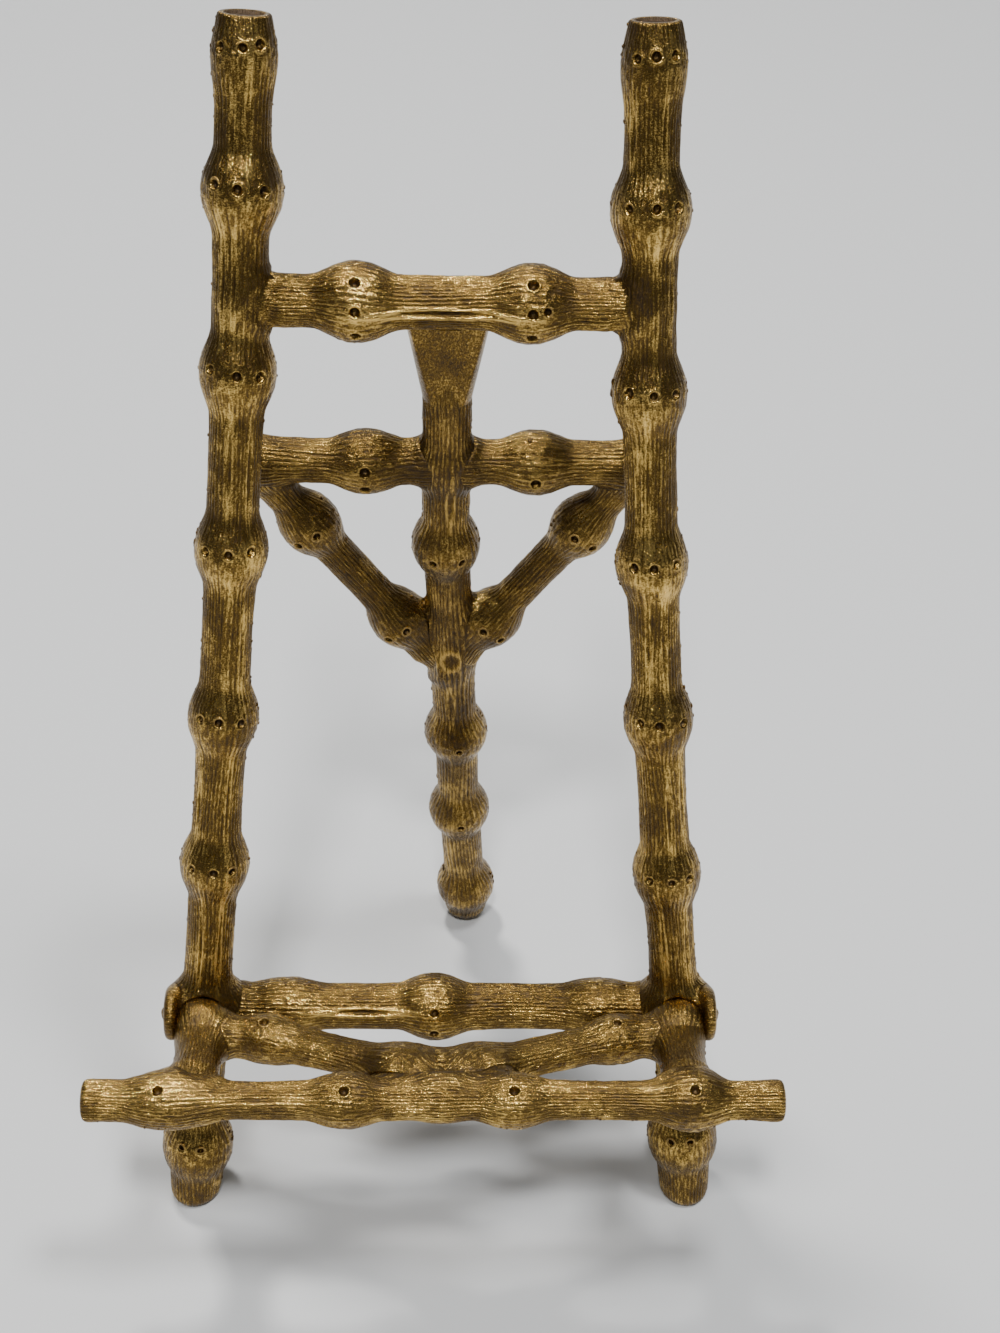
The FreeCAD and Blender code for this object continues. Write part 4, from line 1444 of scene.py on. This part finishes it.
# ---------------------------------------------------------------- stage
@dataclass(frozen=True)
class Stage:
    """A pale floor, soft light and the viewer's place."""

    eye: tuple[float, float, float] = (0.00017, -0.23485, 0.31307)
    down: float = 41.361
    yaw: float = 2.419
    roll: float = 1.995
    lens: float = 51.99
    sensor: float = 36.0

    def build(self) -> None:
        """Sets the floor, lights, world and camera."""
        self.floor()
        self.lights()
        self.camera()

    @staticmethod
    def floor() -> None:
        """A wide pale floor that curves up far behind."""
        mesh = bpy.data.meshes.new("floor")
        half, back, rise, sweep = 1.6, 0.62, 1.2, 0.5
        rows = [(-half, 0.0), (back - 0.001, 0.0)]
        rows += [(back + sweep * math.sin(a), sweep * (1 - math.cos(a)))
                 for a in np.linspace(0.0, math.pi / 2, 24)]
        rows.append((back + sweep, sweep + rise))
        points = [(x, y, z) for y, z in rows for x in (-half, half)]
        faces = [(2 * i, 2 * i + 1, 2 * i + 3, 2 * i + 2) for i in range(len(rows) - 1)]
        mesh.from_pydata(points, [], faces)
        mesh.polygons.foreach_set("use_smooth", [True] * len(faces))
        floor = add_object("floor", mesh)
        paint = bpy.data.materials.new("pale_floor")
        paint.use_nodes = True
        shader = paint.node_tree.nodes["Principled BSDF"]
        shader.inputs["Base Color"].default_value = (0.74, 0.745, 0.745, 1.0)
        shader.inputs["Roughness"].default_value = 0.9
        mesh.materials.append(paint)

    @staticmethod
    def lamp(name: str, place: Sequence[float], aim: Sequence[float], size: float, power: float,
             color: Sequence[float] = (1.0, 1.0, 1.0)) -> None:
        """One soft square light, aimed at a point."""
        data = bpy.data.lights.new(name, "AREA")
        data.shape, data.size, data.energy, data.color = "SQUARE", size, power, color
        lamp = add_object(name, data)
        lamp.location = place
        lamp.rotation_mode = "QUATERNION"
        lamp.rotation_quaternion = (Vector(aim) - Vector(place)).to_track_quat("-Z", "Y")

    def lights(self) -> None:
        """Soft light from above and behind, and a lamp above the viewer."""
        middle = (0.0, 0.0, 0.08)
        self.lamp("window", (-0.22, 0.42, 1.15), middle, 0.13, 9.4, (1.0, 0.985, 0.96))
        self.lamp("sky", (0.30, -0.05, 1.25), middle, 0.20, 7.5, (0.97, 0.985, 1.0))
        self.lamp("ceiling", (-0.06, -0.48, 1.15), middle, 0.12, 6.7)
        world = bpy.data.worlds.new("room")
        world.use_nodes = True
        sky = world.node_tree.nodes["Background"]
        sky.inputs["Color"].default_value = (0.72, 0.76, 0.80, 1.0)
        sky.inputs["Strength"].default_value = 0.15
        bpy.context.scene.world = world

    def camera(self) -> None:
        """The viewer, above and in front."""
        data = bpy.data.cameras.new("viewer")
        data.lens, data.sensor_width = self.lens, self.sensor
        data.clip_start, data.clip_end = 0.01, 20.0
        p, y, r = (math.radians(v) for v in (self.down, self.yaw, self.roll))
        ahead = Vector((math.sin(y) * math.cos(p), math.cos(y) * math.cos(p), -math.sin(p)))
        right = Vector((math.cos(y), -math.sin(y), 0.0))
        above = right.cross(ahead)
        across = right * math.cos(r) + above * math.sin(r)
        above = above * math.cos(r) - right * math.sin(r)
        turn = Matrix((across, above, -ahead)).transposed()
        viewer = add_object("viewer", data)
        viewer.matrix_world = Matrix.Translation(self.eye) @ turn.to_4x4()
        bpy.context.scene.camera = viewer


# ---------------------------------------------------------------- the easel
def hinge_place(name: str) -> tuple[float, float, float]:
    """Where a joint of the frame stands, in metres."""
    return tuple(next(j for j in frame["joints"] if j["name"] == name)["pos_m"])


def arm_places(draft: Draft) -> tuple[float, float]:
    """Where the ledge's arms stand across, worked out from their pins' boxes."""
    ear, play, radius = 2 * Lobe.half_width, Frame.socket_play, Ledge.arm_radius
    shift = draft.landmark[0] / MM - draft.pin[0]
    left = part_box("left_ledge_pin")[0].x / MM - shift + radius + play + ear
    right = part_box("right_ledge_pin")[1].x / MM - shift - radius - play - ear
    return left, right


def main() -> None:
    """Builds the easel's castings, hinge parts and stage, and reports each piece."""
    logging.basicConfig(level=logging.INFO, format="%(name)s %(message)s")
    draft = Draft(lean=15.0, pin=(0.0, 9.3, 168.5), landmark=hinge_place("leg_swing"))
    kit = ShaderKit()
    bright, mellow, dark = (0.84, 0.555, 0.155), (0.160, 0.094, 0.022), (0.034, 0.018, 0.007)
    frame_gilt = GiltFinish("antique_gilt_frame_skin", kit, bright, mellow, dark)
    leg_gilt = GiltFinish("antique_gilt_leg_skin", kit, bright, (0.143, 0.085, 0.021), dark,
                          wear=0.65)
    ledge_gilt = GiltFinish("antique_gilt_ledge_skin", kit, bright, (0.192, 0.115, 0.028), dark)
    rubbed = GiltFinish("rubbed_gilt", kit, bright, (0.42, 0.27, 0.09), dark, smooth=0.2, rough=0.34,
                        follow=Follow.BLOCK)
    flash_gilt = GiltFinish("casting_flash", kit, mellow, (0.16, 0.09, 0.03), dark, follow=Follow.BLOCK)
    block_gilt = GiltFinish("gilt_hinge_casting", kit, bright, mellow, dark, follow=Follow.BLOCK)
    pin_metal = GiltFinish("worn_pin_metal", kit, (0.7, 0.55, 0.3), (0.45, 0.32, 0.16), dark,
                           follow=Follow.BLOCK)
    ledge = Ledge(draft, arm_across=arm_places(draft))
    castings = [(Frame(draft, ledge=ledge), frame_gilt), (Leg(draft), leg_gilt), (ledge, ledge_gilt)]
    rims = StudTree(Stud.RIM, radius=0.80 * MM, thickness=0.17 * MM, spread=0.12, seed=5)
    specks = StudTree(Stud.SPECK, radius=0.30 * MM, thickness=0.6, spread=0.4, seed=8)
    for casting, gilt in castings:
        casting.design()
        casting.build(gilt)
        rims.build(casting.body + "_pit_rims", casting, casting.rims, rubbed)
        specks.build(casting.body + "_flash", casting, casting.flash, flash_gilt)
    for node, body, slot in (("leg_fork", "leg", "antique_gilt_leg"),
                             ("leg_hinge_lug", "frame", "antique_gilt_frame")):
        CastBlock(node, body, slot).build(block_gilt)
    for node, body in (("leg_hinge_pin", "leg"), ("left_ledge_pin", "frame"),
                       ("right_ledge_pin", "frame")):
        Pin(node, body).build(pin_metal)
    Stage().build()


if __name__ == "__main__":
    main()
